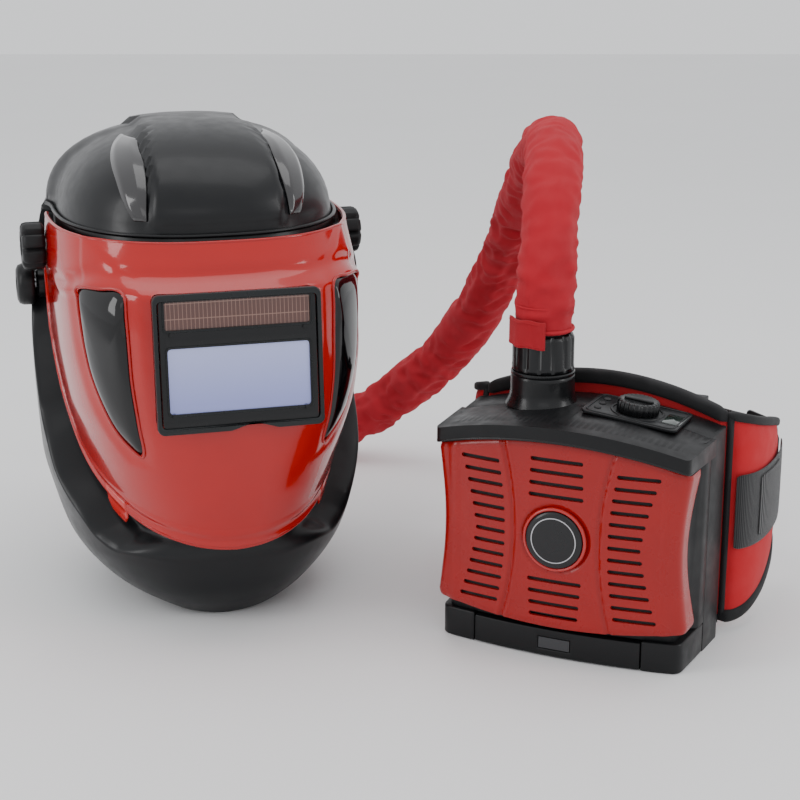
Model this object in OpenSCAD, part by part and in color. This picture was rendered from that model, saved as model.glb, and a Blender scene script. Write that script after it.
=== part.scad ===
/* [Layout] */
// Helmet centre, left of the middle of the part
helmet_x = -156; // [-162:1:-150]
// Pivot line of the helmet
helmet_y = 22; // [16:1:28]
// Turn of the helmet
helmet_yaw = 16; // [10:1:22]
// Middle of the blower's back
blower_x = 148; // [142:1:154]
// Back of the blower
blower_y = -81; // [-87:1:-75]
// Turn of the blower
blower_yaw = -25; // [-28:1:-22]

/* [Helmet] */
// Height of the visor pivot above the floor
pivot_z = 266; // [260:1:272]
// Height of the seam between dome and visor
seam_z = 288; // [284:1:292]
// Height of the crown
crown_z = 357; // [350:1:364]
// Wall of the helmet shell
shell_wall = 3; // [2.5:0.5:4]
// Wall of the visor
visor_wall = 3; // [2.5:0.5:4]
// Lean of the filter, top away
filter_lean = 5; // [3:1:7]
// Width of the welding filter
filter_w = 110; // [108:1:112]
// Height of the welding filter
filter_h = 90; // [88:1:92]
// Middle height of the welding filter
filter_z = 213; // [211:1:215]

/* [Blower] */
// Width of the blower
blower_w = 188; // [184:1:192]
// Height of the blower at its middle
blower_h = 171; // [168:1:174]
// Drop of the arched top towards its ends
top_drop = 15; // [12:1:17]
// Depth of the blower at its ends
blower_d = 84; // [82:1:88]
// Further bulge of the front at its middle
front_bulge = 9; // [7:1:10]
// Narrowing of each side towards the front
side_taper = 5; // [3:1:6]
// Height of the battery base
base_h = 22; // [20:1:24]
// Wall of the blower housing
housing_wall = 3; // [2.5:0.5:3.5]

/* [Hose] */
// Outer diameter of the corrugated hose
hose_d = 32; // [30:1:34]
// Outer diameter of the fabric sleeve
sleeve_d = 42; // [40:1:44]
// Wall of the fabric sleeve with its folds
sleeve_wall = 3; // [2:0.5:4]

/* [Belt] */
// Thickness of the belt pads
pad_t = 9; // [8:1:10]
// Width of the webbing
webbing_w = 50; // [48:1:52]
// Depth of the empty waist loop
loop_d = 180; // [170:5:190]

/* [Hidden] */
$fn = 48;

function mirrored(p) = [-p[0], p[1]];
function spow(v, e) = sign(v) * pow(abs(v), e);
function mix(a, b, w) = a + (b - a) * w;
function smooth(t) = let (c = min(1, max(0, t))) c * c * (3 - 2 * c);
// Point of a section: u is 0 at the front (-Y) and 90 at +X; f and b are its front and rear depth
function sup(u, a, f, b, n) =
    [a * spow(sin(u), 2 / n), -(cos(u) > 0 ? f : b) * spow(cos(u), 2 / n)];

// Closed thin shell over a grid of outer and inner points; keep(i, j) false leaves a hole
module grid_shell(outer, inner, keep = function (i, j) true, wrap = false, cap = false) {
    rows = len(outer);
    cols = len(outer[0]);
    cells = wrap ? cols : cols - 1;
    total = rows * cols;
    o = function (i, j) j * cols + i % cols;
    n = function (i, j) total + j * cols + i % cols;
    on = function (i, j) j >= 0 && j < rows - 1 && (wrap || (i >= 0 && i < cells)) && keep((i + cells) % cells, j);
    quad = function (a, b, c, d) [[a, b, c], [a, c, d]];
    faces = [
        for (j = [0 : rows - 2]) for (i = [0 : cells - 1]) if (keep(i, j))
            each [
                each quad(o(i, j), o(i, j + 1), o(i + 1, j + 1), o(i + 1, j)),
                each quad(n(i, j), n(i + 1, j), n(i + 1, j + 1), n(i, j + 1)),
                if (!on(i - 1, j)) each quad(o(i, j + 1), o(i, j), n(i, j), n(i, j + 1)),
                if (!on(i + 1, j)) each quad(o(i + 1, j), o(i + 1, j + 1), n(i + 1, j + 1), n(i + 1, j)),
                if (!on(i, j - 1)) each quad(o(i, j), o(i + 1, j), n(i + 1, j), n(i, j)),
                if (!on(i, j + 1) && !(cap && j == rows - 2))
                    each quad(o(i + 1, j + 1), o(i, j + 1), n(i, j + 1), n(i + 1, j + 1))],
        if (cap) [for (i = [cells - 1 : -1 : 0]) o(i, rows - 1)],
        if (cap) [for (i = [0 : cells - 1]) n(i, rows - 1)]];
    polyhedron([for (r = outer) each r, for (r = inner) each r], faces);
}

module in_helmet() { translate([helmet_x, helmet_y, 0]) rotate([0, 0, helmet_yaw]) children(); }
module in_blower() { translate([blower_x, blower_y, 0]) rotate([0, 0, blower_yaw]) children(); }
module along_x(x, y, z) { translate([x, y, z]) rotate([0, 90, 0]) children(); }
module along_y(x, y, z) { translate([x, y, z]) rotate([-90, 0, 0]) children(); }

// ---- Helmet surfaces, in the helmet's own frame ----
// Rows of the visor: height, half width, front depth, section exponent
visor_rows = [
    [66, 86, 151, 2.1], [92, 92, 160, 2.2], [114, 98, 167, 2.3], [143, 104, 173, 2.6],
    [168, 108, 176, 2.9], [207, 111, 173, 3.1], [256, 111.5, 168, 3.1], [263, 111.5, 158, 2.9],
    [288, 110, 138, 2.6], [300, 109, 132, 2.5]];
// Rows of the helmet shell where it is free: height, half width, front depth, rear depth
bib_rows = [
    [0, 60, 104, 60], [14, 76, 118, 66], [25, 87, 126, 70], [38, 98, 132, 75], [52, 106, 138, 80],
    [74, 113, 146, 90], [110, 121, 150, 106], [190, 124, 148, 126], [250, 120, 144, 134], [288, 113, 130, 132]];
// Rows of the helmet shell behind the visor: height, half width, front depth
inner_rows = [
    [0, 74, 130], [72, 78, 141], [92, 84, 142], [114, 90, 142], [143, 95, 141],
    [176, 99, 140], [207, 101, 139], [250, 102, 137], [288, 103, 127]];
// Height of the visor's lower rim and of the helmet shell's edge, by section angle
rim_rows = [
    [0, 68], [12, 69.5], [35, 77], [55, 91], [72, 114], [81, 143], [88, 176], [91, 215], [94, 240], [100, 246]];
collar_rows = [
    [0, 68], [12, 69.5], [35, 75], [45, 74], [55, 81], [62, 94], [72, 112], [81, 138], [88, 160], [91, 190],
    [94, 214], [100, 240], [104, 262], [108, 330]];
edge_rows = [[0, 0], [20, 4], [39, 14], [63, 25], [85, 38], [100, 54], [115, 84], [135, 132], [155, 172], [180, 190]];
ear_depth = 60;
bib_exp = 2.4;

function row(rows, z, k) = lookup(z, [for (r = rows) [r[0], r[k]]]);
function at_angle(rows, u) = lookup(abs(u > 180 ? u - 360 : u), rows);

function visor_pt(u, z, inset = 0) =
    let (p = sup(u, row(visor_rows, z, 1) - inset, row(visor_rows, z, 2) - inset,
                 ear_depth, row(visor_rows, z, 3)))
    [p[0], p[1], z];

function shell_pt(u, z, inset = 0) =
    let (w = smooth((z - at_angle(collar_rows, u) + 18) / 15),
         a = mix(row(bib_rows, z, 1), row(inner_rows, z, 1), w) - inset,
         f = mix(row(bib_rows, z, 2), row(inner_rows, z, 2), w) - inset,
         p = sup(u, a, f, row(bib_rows, z, 3) - inset, bib_exp))
    [p[0], p[1], z];

// Dome above the seam: v is 0 at the seam and 90 at the crown
dome_exp = 2.3;
function dome_pt(u, v, inset = 0) =
    let (s = pow(cos(v), 2 / dome_exp),
         h = pow(sin(v), 2 / dome_exp),
         p = sup(u, (mix(103, 113, smooth((abs(u > 180 ? u - 360 : u) - 96) / 16)) - inset) * s,
                 (127 - inset) * s, (132 - inset) * s, bib_exp))
    [p[0], p[1], seam_z + (crown_z - inset - seam_z) * h];

shell_us = [for (i = [0 : 39]) i * 9];
shell_ts = [for (j = [0 : 13]) j / 13];
dome_vs = [12, 24, 36, 48, 60, 72, 82];
function shell_rows_at(inset) = [
    for (t = shell_ts) [for (u = shell_us) shell_pt(u, mix(at_angle(edge_rows, u), seam_z, t), inset)],
    for (v = dome_vs) [for (u = shell_us) dome_pt(u, v, inset)]];

face_cols = 4;
face_row_lo = 6;
face_row_hi = 11;
connector_z = 236;
headgear_pin = [0, 25, 232];

module helmet_shell() {
    color("#1b1c1f") in_helmet() difference() {
        union() {
            grid_shell(shell_rows_at(0), shell_rows_at(shell_wall), wrap = true, cap = true,
                keep = function (i, j)
                    !(j >= face_row_lo && j <= face_row_hi && (i < face_cols || i >= 40 - face_cols)));
            for (s = [-1, 1])
                along_x(s * 108.5, headgear_pin[1], headgear_pin[2]) cylinder(h = 19, d = 22, center = true);
        }
        for (s = [-1, 1]) {
            along_x(s * 104, 0, pivot_z) cylinder(h = 24, d = 10, center = true);
            along_x(s * 110, headgear_pin[1], headgear_pin[2]) cylinder(h = 30, d = 8, center = true);
        }
        along_y(0, 110, connector_z) cylinder(h = 40, d = 27);
    }
}

// Inlay that lies on the dome between two section angles
module dome_insert(u0, u1) {
    us = [for (i = [0 : 6]) mix(u0, u1, i / 6)];
    vs = [for (j = [0 : 5]) mix(22, 66, j / 5)];
    color("#5c5f66") in_helmet() grid_shell(
        [for (v = vs) [for (u = us) dome_pt(u, v, -2)]],
        [for (v = vs) [for (u = us) dome_pt(u, v, -0.3)]]);
}
module dome_inserts() {
    dome_insert(-70, -34);
    dome_insert(34, 70);
}

lens_us = [for (i = [0 : 10]) -45 + 9 * i];
lens_zs = [for (j = [0 : 8]) 118 + 19 * j];
module clear_lens() {
    color("#cfd8dc", 0.5) in_helmet() grid_shell(
        [for (z = lens_zs) [for (u = lens_us) shell_pt(u, z, shell_wall + 1)]],
        [for (z = lens_zs) [for (u = lens_us) shell_pt(u, z, shell_wall + 3)]]);
}
module lens_seal() {
    color("#2a2a2a") in_helmet() grid_shell(
        [for (z = lens_zs) [for (u = lens_us) shell_pt(u, z, shell_wall + 3.2)]],
        [for (z = lens_zs) [for (u = lens_us) shell_pt(u, z, shell_wall + 6.2)]],
        keep = function (i, j) i == 0 || i == 9 || j == 0 || j == 7);
}

// Flat duct under the dome, from the rear wall over the crown to the brow
duct_w = 56;
duct_h = 11;
function duct_curve(inset, v0, v1, n) = [
    for (k = [0 : n]) let (v = mix(v0, v1, k / n), c = cos(v), s = sin(v))
        [-(c > 0 ? 127 - inset : 132 - inset) * spow(c, 2 / dome_exp),
         seam_z + (crown_z - inset - seam_z) * pow(s, 2 / dome_exp)]];
function reversed(l) = [for (i = [len(l) - 1 : -1 : 0]) l[i]];
module duct_band(inset, h, v0, v1) {
    polygon(concat(duct_curve(inset, v0, v1, 16), reversed(duct_curve(inset + h, v0, v1, 16))));
}
module air_duct() {
    color("#33353a") in_helmet() rotate([90, 0, 90]) difference() {
        union() {
            linear_extrude(duct_w, center = true) duct_band(shell_wall + 3.7, duct_h, 4, 172);
            linear_extrude(duct_w, center = true) translate([111, 215]) square([10, 72]);
        }
        linear_extrude(duct_w - 4, center = true) duct_band(shell_wall + 5.7, duct_h - 4, 2, 175);
        linear_extrude(duct_w - 4, center = true) translate([113, 217]) square([6, 70]);
        translate([118, connector_z, 0]) rotate([0, 90, 0]) cylinder(h = 20, d = 26, center = true);
    }
}
module duct_outlet() {
    color("#33353a") in_helmet() difference() {
        translate([-duct_w / 2, -116, 272]) cube([duct_w, 12, 14]);
        translate([-duct_w / 2 + 2, -114, 274]) cube([duct_w - 4, 8, 14]);
        for (i = [-4 : 4]) translate([i * 5.6 - 1.5, -112, 270]) cube([3, 4, 6]);
    }
}

// Elbow that leads the hose off the back of the helmet, down and away
elbow = [0, 150, connector_z];
elbow_tilt = 150;
module at_elbow() { in_helmet() translate(elbow) rotate([-elbow_tilt, 0, 0]) children(); }
neck_h = 40;
module helmet_connector() {
    color("#202226") difference() {
        union() {
            in_helmet() along_y(0, 135, connector_z) cylinder(h = 5, d = 46);
            in_helmet() along_y(0, 138, connector_z) cylinder(h = 12, d = 34);
            at_elbow() sphere(d = 36);
            at_elbow() cylinder(h = neck_h - 12, d = 36);
            at_elbow() cylinder(h = neck_h, d = 32);
        }
        in_helmet() along_y(0, 130, connector_z) cylinder(h = 20, d = 26);
        at_elbow() cylinder(h = neck_h + 1, d = 25);
    }
}

// Fabric seal that hangs from the shell's edge and closes round the neck
seal_us = [for (i = [0 : 23]) i * 15];
seal_hem = 1.5;
function seal_pt(u, t, inset) =
    let (z = at_angle(edge_rows, u) + 10,
         q = shell_pt(u, z, shell_wall + 2 + inset),
         k = mix(1, 0.62, t))
    [q[0] * k, q[1] * k + 12 * t, mix(z, seal_hem, smooth(t)) + 0.5 + inset];
module neck_seal() {
    ts = [0, 0.2, 0.4, 0.6, 0.8, 1];
    color("#26272b") in_helmet() grid_shell(
        [for (t = ts) [for (u = seal_us) seal_pt(u, 1 - t, 0)]],
        [for (t = ts) [for (u = seal_us) seal_pt(u, 1 - t, 2)]], wrap = true);
}

module visor_pivot_pins() {
    color("#888c90") in_helmet() for (s = [-1, 1]) {
        along_x(s * 108, 0, pivot_z) cylinder(h = 24, d = 9.8, center = true);
        along_x(s * 96.5, 0, pivot_z) cylinder(h = 3, d = 16, center = true);
    }
}
module headgear_pins() {
    color("#888c90") in_helmet() for (s = [-1, 1])
        along_x(s * 105.5, headgear_pin[1], headgear_pin[2]) cylinder(h = 37, d = 7.8, center = true);
}

// ---- Visor ----
visor_us = [-100, -94, -91, -88, -81, -72, -59, -54, -47, -40, -33, -27, -10, 0,
            10, 27, 33, 40, 47, 54, 59, 72, 81, 88, 91, 94, 100];
visor_ts = [0, 0.07, 0.15, 0.25, 0.36, 0.455, 0.55, 0.66, 0.77, 0.865, 0.9, 0.95, 1];
function visor_grid(inset) = [
    for (t = visor_ts) [for (u = visor_us) visor_pt(u, mix(at_angle(rim_rows, u), seam_z, t), inset)]];
// Cells of the left side opening, stepped along its slanting outer edge
function side_hole(i, j) = i <= 9 && j >= 4 && j <= 8 && i >= 10 - min(4, j - 3);
module visor_shell() {
    color("#d3190f") in_helmet() difference() {
        grid_shell(visor_grid(0), visor_grid(visor_wall),
            keep = function (i, j)
                !(j >= 5 && j <= 8 && i >= 11 && i <= 14) && !side_hole(i, j) && !side_hole(25 - i, j));
        for (s = [-1, 1]) along_x(s * 110, 0, pivot_z) cylinder(h = 24, d = 10, center = true);
    }
}

// Everything on the filter lies in a frame whose front (-Y) is the filter's face
module at_filter() {
    in_helmet() translate([0, -173, filter_z]) rotate([-filter_lean, 0, 0]) children();
}
frame_w = 116;
frame_h = 96;
module filter_frame() {
    color("#2b2d31") at_filter() difference() {
        translate([-frame_w / 2, -6, -frame_h / 2]) cube([frame_w, 6, frame_h]);
        translate([-50, -7, -27]) cube([100, 8, 46]);
        translate([-51, -7, 23]) cube([102, 8, 21]);
        for (x = [-46, 46]) for (z = [-35, 21]) along_y(x, -8, z) cylinder(h = 3.5, d = 3.2);
    }
}
module frame_screws() {
    color("#101114") at_filter()
        for (x = [-46, 46]) for (z = [-35, 21]) along_y(x, -6.4, z) cylinder(h = 1.8, d = 3);
}
module view_window() {
    color("#9aa6e8") at_filter() translate([-49.8, -3.5, -26.8]) cube([99.6, 3, 45.6]);
}
module solar_strip() {
    color("#5a3a30") at_filter() translate([-50.8, -3.5, 23.2]) cube([101.6, 3, 20.6]);
}
module filter_cartridge() {
    color("#1d1e22") at_filter() difference() {
        translate([-filter_w / 2 + 8, 0.3, -filter_h / 2 + 6]) cube([filter_w - 16, 9, filter_h - 12]);
        translate([-46, 0, -25]) cube([92, 12, 42]);
    }
}

// Lens behind a side opening: wide at the top, narrowing forwards and down
window_rows = [[136, 33, 38], [154, 33, 44], [180, 33, 52], [220, 33, 59], [262, 34, 62]];
module side_window(s) {
    zs = [for (j = [0 : 6]) mix(140, 259, j / 6)];
    us = function (z) [for (i = [0 : 4]) let (k = s > 0 ? i / 4 : 1 - i / 4)
        s * mix(row(window_rows, z, 1), row(window_rows, z, 2), k)];
    color("#1a1b1f") in_helmet() grid_shell(
        [for (z = zs) [for (u = us(z)) visor_pt(u, z, visor_wall + 1.3)]],
        [for (z = zs) [for (u = us(z)) visor_pt(u, z, visor_wall + 3.3)]]);
}
module side_window_left() { side_window(-1); }
module side_window_right() { side_window(1); }

// Thumb tabs on the inner side of the lower rim
module lift_tabs() {
    ts = [0, 0.5, 1];
    color("#c4150d") in_helmet() for (s = [-1, 1]) {
        us = [for (i = [0 : 3]) s * 53 + (i - 1.5) * 3];
        grid_shell(
            [for (t = ts) [for (u = us) visor_pt(u, at_angle(rim_rows, u) - 9 + 15 * t, -3.4)]],
            [for (t = ts) [for (u = us) visor_pt(u, at_angle(rim_rows, u) - 9 + 15 * t, -0.4)]]);
    }
}

// Knob on the +X end of a pin
module knob(d, h, lobes, bore, bore_h) {
    difference() {
        union() {
            cylinder(h = h - 2, d = d);
            cylinder(h = h, d = d - 4);
        }
        if (lobes > 0) for (k = [0 : lobes - 1])
            rotate([0, 0, k * 360 / lobes]) translate([d / 2 + 2, 0, -1]) cylinder(h = h + 2, d = 8);
        translate([0, 0, -1]) cylinder(h = bore_h + 1, d = bore);
    }
}
knob_x = 112.2;
module visor_knob(s) {
    color("#17181b") in_helmet() translate([s * knob_x, 0, pivot_z]) rotate([0, s * 90, 0])
        knob(36, 17, 8, 10, 8);
}
module visor_knob_left() { visor_knob(-1); }
module visor_knob_right() { visor_knob(1); }
headgear_knob_x = 121.2;
module headgear_knob(s) {
    color("#17181b") in_helmet() translate([s * headgear_knob_x, headgear_pin[1], headgear_pin[2]])
        rotate([0, s * 90, 0]) knob(32, 11.3, 0, 8, 6);
}
module headgear_knob_left() { headgear_knob(-1); }
module headgear_knob_right() { headgear_knob(1); }

// ---- Headgear ----
band_mid_y = 14;
band_w = 82;
band_front = 100;
band_rear = 78;
function oval_pt(u, w, f, r) = [w * sin(u), -(cos(u) > 0 ? f : r) * cos(u)];
module oval_band(w, f, r, t, gap = 0) {
    us = [for (k = [0 : 36]) 180 + gap + (360 - 2 * gap) * k / 36];
    polygon(concat([for (u = us) oval_pt(u, w, f, r)], reversed([for (u = us) oval_pt(u, w - t, f - t, r - t)])));
}
module headband() {
    color("#2f3136") in_helmet() difference() {
        union() {
            translate([0, band_mid_y, 216]) linear_extrude(32) oval_band(band_w, band_front, band_rear, 3, 27);
            for (s = [-1, 1])
                along_x(s * 84.5, headgear_pin[1], headgear_pin[2]) cylinder(h = 9, d = 26, center = true);
        }
        for (s = [-1, 1])
            along_x(s * 84, headgear_pin[1], headgear_pin[2]) cylinder(h = 20, d = 8, center = true);
    }
}
module sweatband() {
    us = [for (k = [0 : 16]) -64 + 8 * k];
    color("#3b3d42") in_helmet() translate([0, band_mid_y, 214]) linear_extrude(36)
        polygon(concat(
            [for (u = us) oval_pt(u, band_w - 3.3, band_front - 3.3, band_rear)],
            reversed([for (u = us) oval_pt(u, band_w - 8.3, band_front - 8.3, band_rear)])));
}
module crown_strap() {
    color("#2f3136") in_helmet() translate([0, band_mid_y, 249]) rotate([90, 0, 0])
        linear_extrude(24, center = true) intersection() {
            difference() { circle(r = 78.7, $fn = 96); circle(r = 76.2, $fn = 96); }
            translate([-80, 0]) square([160, 80]);
        }
}
ratchet_y = band_mid_y + band_rear;
module ratchet_housing() {
    color("#26282c") in_helmet() difference() {
        translate([-34, ratchet_y - 10, 214]) cube([68, 10, 36]);
        translate([-40, ratchet_y - 13, 215]) cube([80, 9, 34]);
        along_y(0, ratchet_y - 14, 232) cylinder(h = 20, d = 8.1);
    }
}
module ratchet_knob() {
    color("#17181b") in_helmet() along_y(0, ratchet_y - 3.5, 232) difference() {
        union() {
            cylinder(h = 6, d = 8);
            translate([0, 0, 4]) cylinder(h = 10, d = 34);
        }
        for (k = [0 : 11]) rotate([0, 0, 30 * k]) translate([18.5, 0, 3]) cylinder(h = 12, d = 5);
    }
}

// ---- Blower, in its own frame: back face at y = 0, front towards -Y ----
split_y = -34;
top_r = (blower_w * blower_w / 4 + top_drop * top_drop) / (2 * top_drop);
function top_z(x) = blower_h - top_r + sqrt(top_r * top_r - x * x);
module housing_outline(inset) {
    intersection() {
        translate([0, blower_h - top_r]) circle(r = top_r - inset, $fn = 240);
        translate([-blower_w / 2 + inset, base_h + inset])
            square([blower_w - 2 * inset, blower_h - base_h]);
    }
}
// Half width at a depth
function half_w(y) = blower_w / 2 + side_taper * y / blower_d;
// Solid of the housing's outline between two depths, narrowing towards the front
module slab(y0, y1, inset) {
    intersection() {
        translate([0, y1, 0]) rotate([90, 0, 0]) linear_extrude(y1 - y0) housing_outline(inset);
        linear_extrude(blower_h + 1) polygon([
            [half_w(y0) - inset, y0], [half_w(y1) - inset, y1], [inset - half_w(y1), y1], [inset - half_w(y0), y0]]);
    }
}
spigot = [-35, -29];
module rear_housing() {
    color("#1d1e21") in_blower() difference() {
        union() {
            slab(split_y, 0, 0);
            linear_extrude(base_h + 1) polygon([[-half_w(split_y), split_y], [half_w(split_y), split_y],
                [blower_w / 2, 0], [-blower_w / 2, 0]]);
        }
        slab(split_y - 1, -housing_wall, housing_wall);
        translate([spigot[0], spigot[1], 120]) cylinder(h = 60, d = 40.4);
        for (x = [-60, 60]) for (z = [50, 130]) along_y(x, -5, z) cylinder(h = 8, d = 4.4);
    }
}
battery_half = 62;
latch_y = 3.5 - blower_d - front_bulge;
cover_depth = 6;
ledge_h = 13;
front_half = half_w(-blower_d);
function front_y(x) = let (r = (front_half * front_half + front_bulge * front_bulge) / (2 * front_bulge))
    -blower_d - front_bulge + r - sqrt(r * r - x * x);
module front_plan(inset, extra = 0) {
    polygon(concat(
        [for (k = [0 : 12]) let (x = mix(inset - front_half, front_half - inset, k / 12)) [x, front_y(x) + extra]],
        [[half_w(split_y) - inset, split_y], [inset - half_w(split_y), split_y]]));
}
module straight_slab() {
    translate([0, split_y - 0.2, 0]) rotate([90, 0, 0]) linear_extrude(100) housing_outline(0);
}
module front_housing() {
    color("#1d1e21") in_blower() difference() {
        union() {
            intersection() {
                linear_extrude(200) front_plan(0, cover_depth);
                straight_slab();
            }
            intersection() {
                linear_extrude(200) front_plan(-3, -5);
                translate([0, split_y - 0.2, 0]) rotate([90, 0, 0]) linear_extrude(100) difference() {
                    housing_outline(0);
                    translate([0, blower_h - top_r - ledge_h]) circle(r = top_r, $fn = 240);
                }
            }
            for (s = [-1, 1]) intersection() {
                linear_extrude(base_h + 1) front_plan(0, 4);
                translate([s * (battery_half + 16.5) - 16, -120, 0]) cube([32, 120, 60]);
            }
        }
        slab(-70, split_y + 1, housing_wall);
        translate([-70, -100, 42]) cube([140, 60, 90]);
        translate([spigot[0], spigot[1], 120]) cylinder(h = 60, d = 40.4);
        translate([-300, -300, -1]) cube([600, 600, 1]);
    }
}
module battery_pack() {
    color("#191a1d") in_blower() difference() {
        intersection() {
            translate([0, 0, 1]) linear_extrude(base_h - 1.6) front_plan(0, 3);
            translate([-battery_half, -120, 0]) cube([2 * battery_half, 85, 60]);
        }
        translate([-12, latch_y - 6, 6]) cube([24, 14, 9]);
    }
}
module battery_latch() {
    color("#3a3c41") in_blower() translate([-11.5, latch_y, 6.5]) cube([23, 4.5, 8]);
}

// Red cover: hourglass outline, curved in plan, wrapped round both sides
cover_z0 = base_h + 2;
cover_z1 = blower_h - ledge_h - 1;
cover_waist = 5;
cover_half = front_half + 4;
module cover_outline() {
    edge = [for (k = [1 : 11]) let (t = k / 12)
        [cover_half - cover_waist * sin(180 * t), mix(cover_z1 - top_drop, cover_z0 + 6, t)]];
    polygon(concat(
        [for (k = [0 : 16]) let (x = mix(-cover_half, cover_half, k / 16)) [x, top_z(x) - blower_h + cover_z1]],
        edge,
        [for (k = [0 : 16]) let (x = mix(cover_half, -cover_half, k / 16))
            [x, cover_z0 + 8 * pow(x / cover_half, 2)]],
        reversed([for (p = edge) mirrored(p)])));
}
flap_y = -60;
flap_x = half_w(flap_y) + 1.2;
module cover_plan() {
    front = [for (k = [0 : 24]) let (x = mix(4 - front_half, front_half - 4, k / 24)) [x, front_y(x)]];
    inner = [for (p = front) [p[0] * 0.985, p[1] + 3]];
    side = [[front_half + 3.6, 5.5 - blower_d], [flap_x + 2.8, flap_y], [flap_x, flap_y],
        [front_half + 0.8, 5.4 - blower_d]];
    polygon(concat(reversed([for (p = [side[0], side[1]]) mirrored(p)]), front, side, reversed(inner),
        reversed([for (p = [side[2], side[3]]) mirrored(p)])));
}
slot_step = 8;
module slot(x, z, w) { translate([x - w / 2, -110, z - 1.3]) cube([w, 60, 2.6]); }
module filter_cover() {
    color("#c8201a") in_blower() difference() {
        intersection() {
            linear_extrude(200) cover_plan();
            rotate([90, 0, 0]) linear_extrude(140) cover_outline();
        }
        for (k = [0 : 12]) {
            slot(-48, 40 + k * slot_step, 21 + 6 * abs(k - 6) / 6);
            slot(48, 40 + k * slot_step, 21 + 6 * abs(k - 6) / 6);
        }
        for (k = [0 : 3]) {
            slot(0, 118 + k * slot_step, 28 - k * 1.5);
            slot(0, 36 + k * slot_step, 24 + k * 1.5);
        }
        translate([-300, -300, -1]) cube([600, 600, 1]);
    }
}
badge_z = 90;
module badge() {
    color("#2e3036") in_blower() along_y(0, -blower_d - front_bulge - 2.6, badge_z) cylinder(h = 2.4, d = 42);
}
// Filter stack, front to back
module plate(y0, t, w, h, z, c) {
    color(c) in_blower() translate([-w / 2, y0, z - h / 2]) cube([w, t, h]);
}
stack_z = 86;
module spark_arrestor() { plate(-82, 1.5, 128, 80, stack_z, "#9a9da1"); }
module prefilter() { plate(-80, 5, 128, 80, stack_z, "#d9dadd"); }
module particle_filter() { plate(-74.5, 30, 134, 84, stack_z, "#e8e8ea"); }
module filter_seal() {
    color("#26272b") in_blower() difference() {
        translate([-66, -44.2, stack_z - 41]) cube([132, 4, 82]);
        translate([-60, -45, stack_z - 35]) cube([120, 6, 70]);
    }
}
fan = [-8, 88];
module volute() {
    color("#2b2d31") in_blower() difference() {
        union() {
            along_y(fan[0], -39, fan[1]) cylinder(h = 34, d = 92, $fn = 96);
            translate([fan[0] - 46, -39, fan[1]]) cube([32, 34, 56]);
        }
        along_y(fan[0], -37, fan[1]) cylinder(h = 30, d = 88, $fn = 96);
        along_y(fan[0], -40, fan[1]) cylinder(h = 6, d = 50);
        translate([fan[0] - 44, -37, fan[1]]) cube([28, 30, 60]);
    }
}
module motor() {
    color("#7d8085") in_blower() {
        along_y(fan[0], -19, fan[1]) cylinder(h = 12, d = 36);
        along_y(fan[0], -33, fan[1]) cylinder(h = 14, d = 4.9);
    }
}
module impeller() {
    color("#c9ccd0") in_blower() along_y(fan[0], -36, fan[1]) difference() {
        union() {
            translate([0, 0, 12]) cylinder(h = 2, d = 80);
            cylinder(h = 13, d = 12);
            for (k = [0 : 11]) rotate([0, 0, k * 30]) translate([24, -0.8, 1]) rotate([0, 0, 25]) cube([14, 1.6, 12]);
        }
        translate([0, 0, -1]) cylinder(h = 18, d = 5);
    }
}
module control_board() {
    color("#2f6f3d") in_blower() translate([34, -34, top_z(34) - 14]) rotate([0, 6, 0])
        translate([-34, -17, 0]) cube([68, 30, 1.6]);
}
panel_mid = [37, -32];
panel_tilt = 6.2;
module at_panel() {
    in_blower() translate([panel_mid[0], panel_mid[1], top_z(panel_mid[0])]) rotate([0, panel_tilt, 0]) children();
}
module control_panel() {
    color("#232529") at_panel() difference() {
        translate([-35, -24, 0.2]) cube([70, 48, 1.8]);
        translate([0, 0, -1]) cylinder(h = 4, d = 8.2);
        translate([20, -11, 1]) cube([14, 22, 2]);
    }
}
module display() { color("#5c6f66") at_panel() translate([20.3, -10.7, 1.1]) cube([13.4, 21.4, 0.9]); }
module speed_knob() {
    color("#17181b") at_panel() difference() {
        union() {
            translate([0, 0, 0.5]) cylinder(h = 3, d = 8);
            translate([0, 0, 2.2]) cylinder(h = 8.8, d = 30);
        }
        for (k = [0 : 17]) rotate([0, 0, 20 * k]) translate([15.6, 0, 1]) cylinder(h = 12, d = 2.4, $fn = 16);
        translate([0, 0, 10.2]) cube([22, 2, 2], center = true);
    }
}

neck_z = 193;
neck_top = 206;
neck_d = 38;
module outlet_spigot() {
    color("#1f2023") in_blower() translate([spigot[0], spigot[1], 0]) difference() {
        union() {
            translate([0, 0, 150]) cylinder(h = 20, d = 40);
            translate([0, 0, 167]) cylinder(h = 9, d1 = 50, d2 = 46);
            translate([0, 0, 174]) cylinder(h = neck_z - 174, d = 46);
            translate([0, 0, neck_z - 1]) cylinder(h = neck_top - neck_z + 1, d = neck_d);
        }
        translate([0, 0, 140]) cylinder(h = 80, d = 30);
    }
}
module housing_screws() {
    color("#8b8e92") in_blower() for (x = [-60, 60]) for (z = [50, 130])
        along_y(x, -2.6, z) cylinder(h = 2.2, d = 4.2);
}

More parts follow.
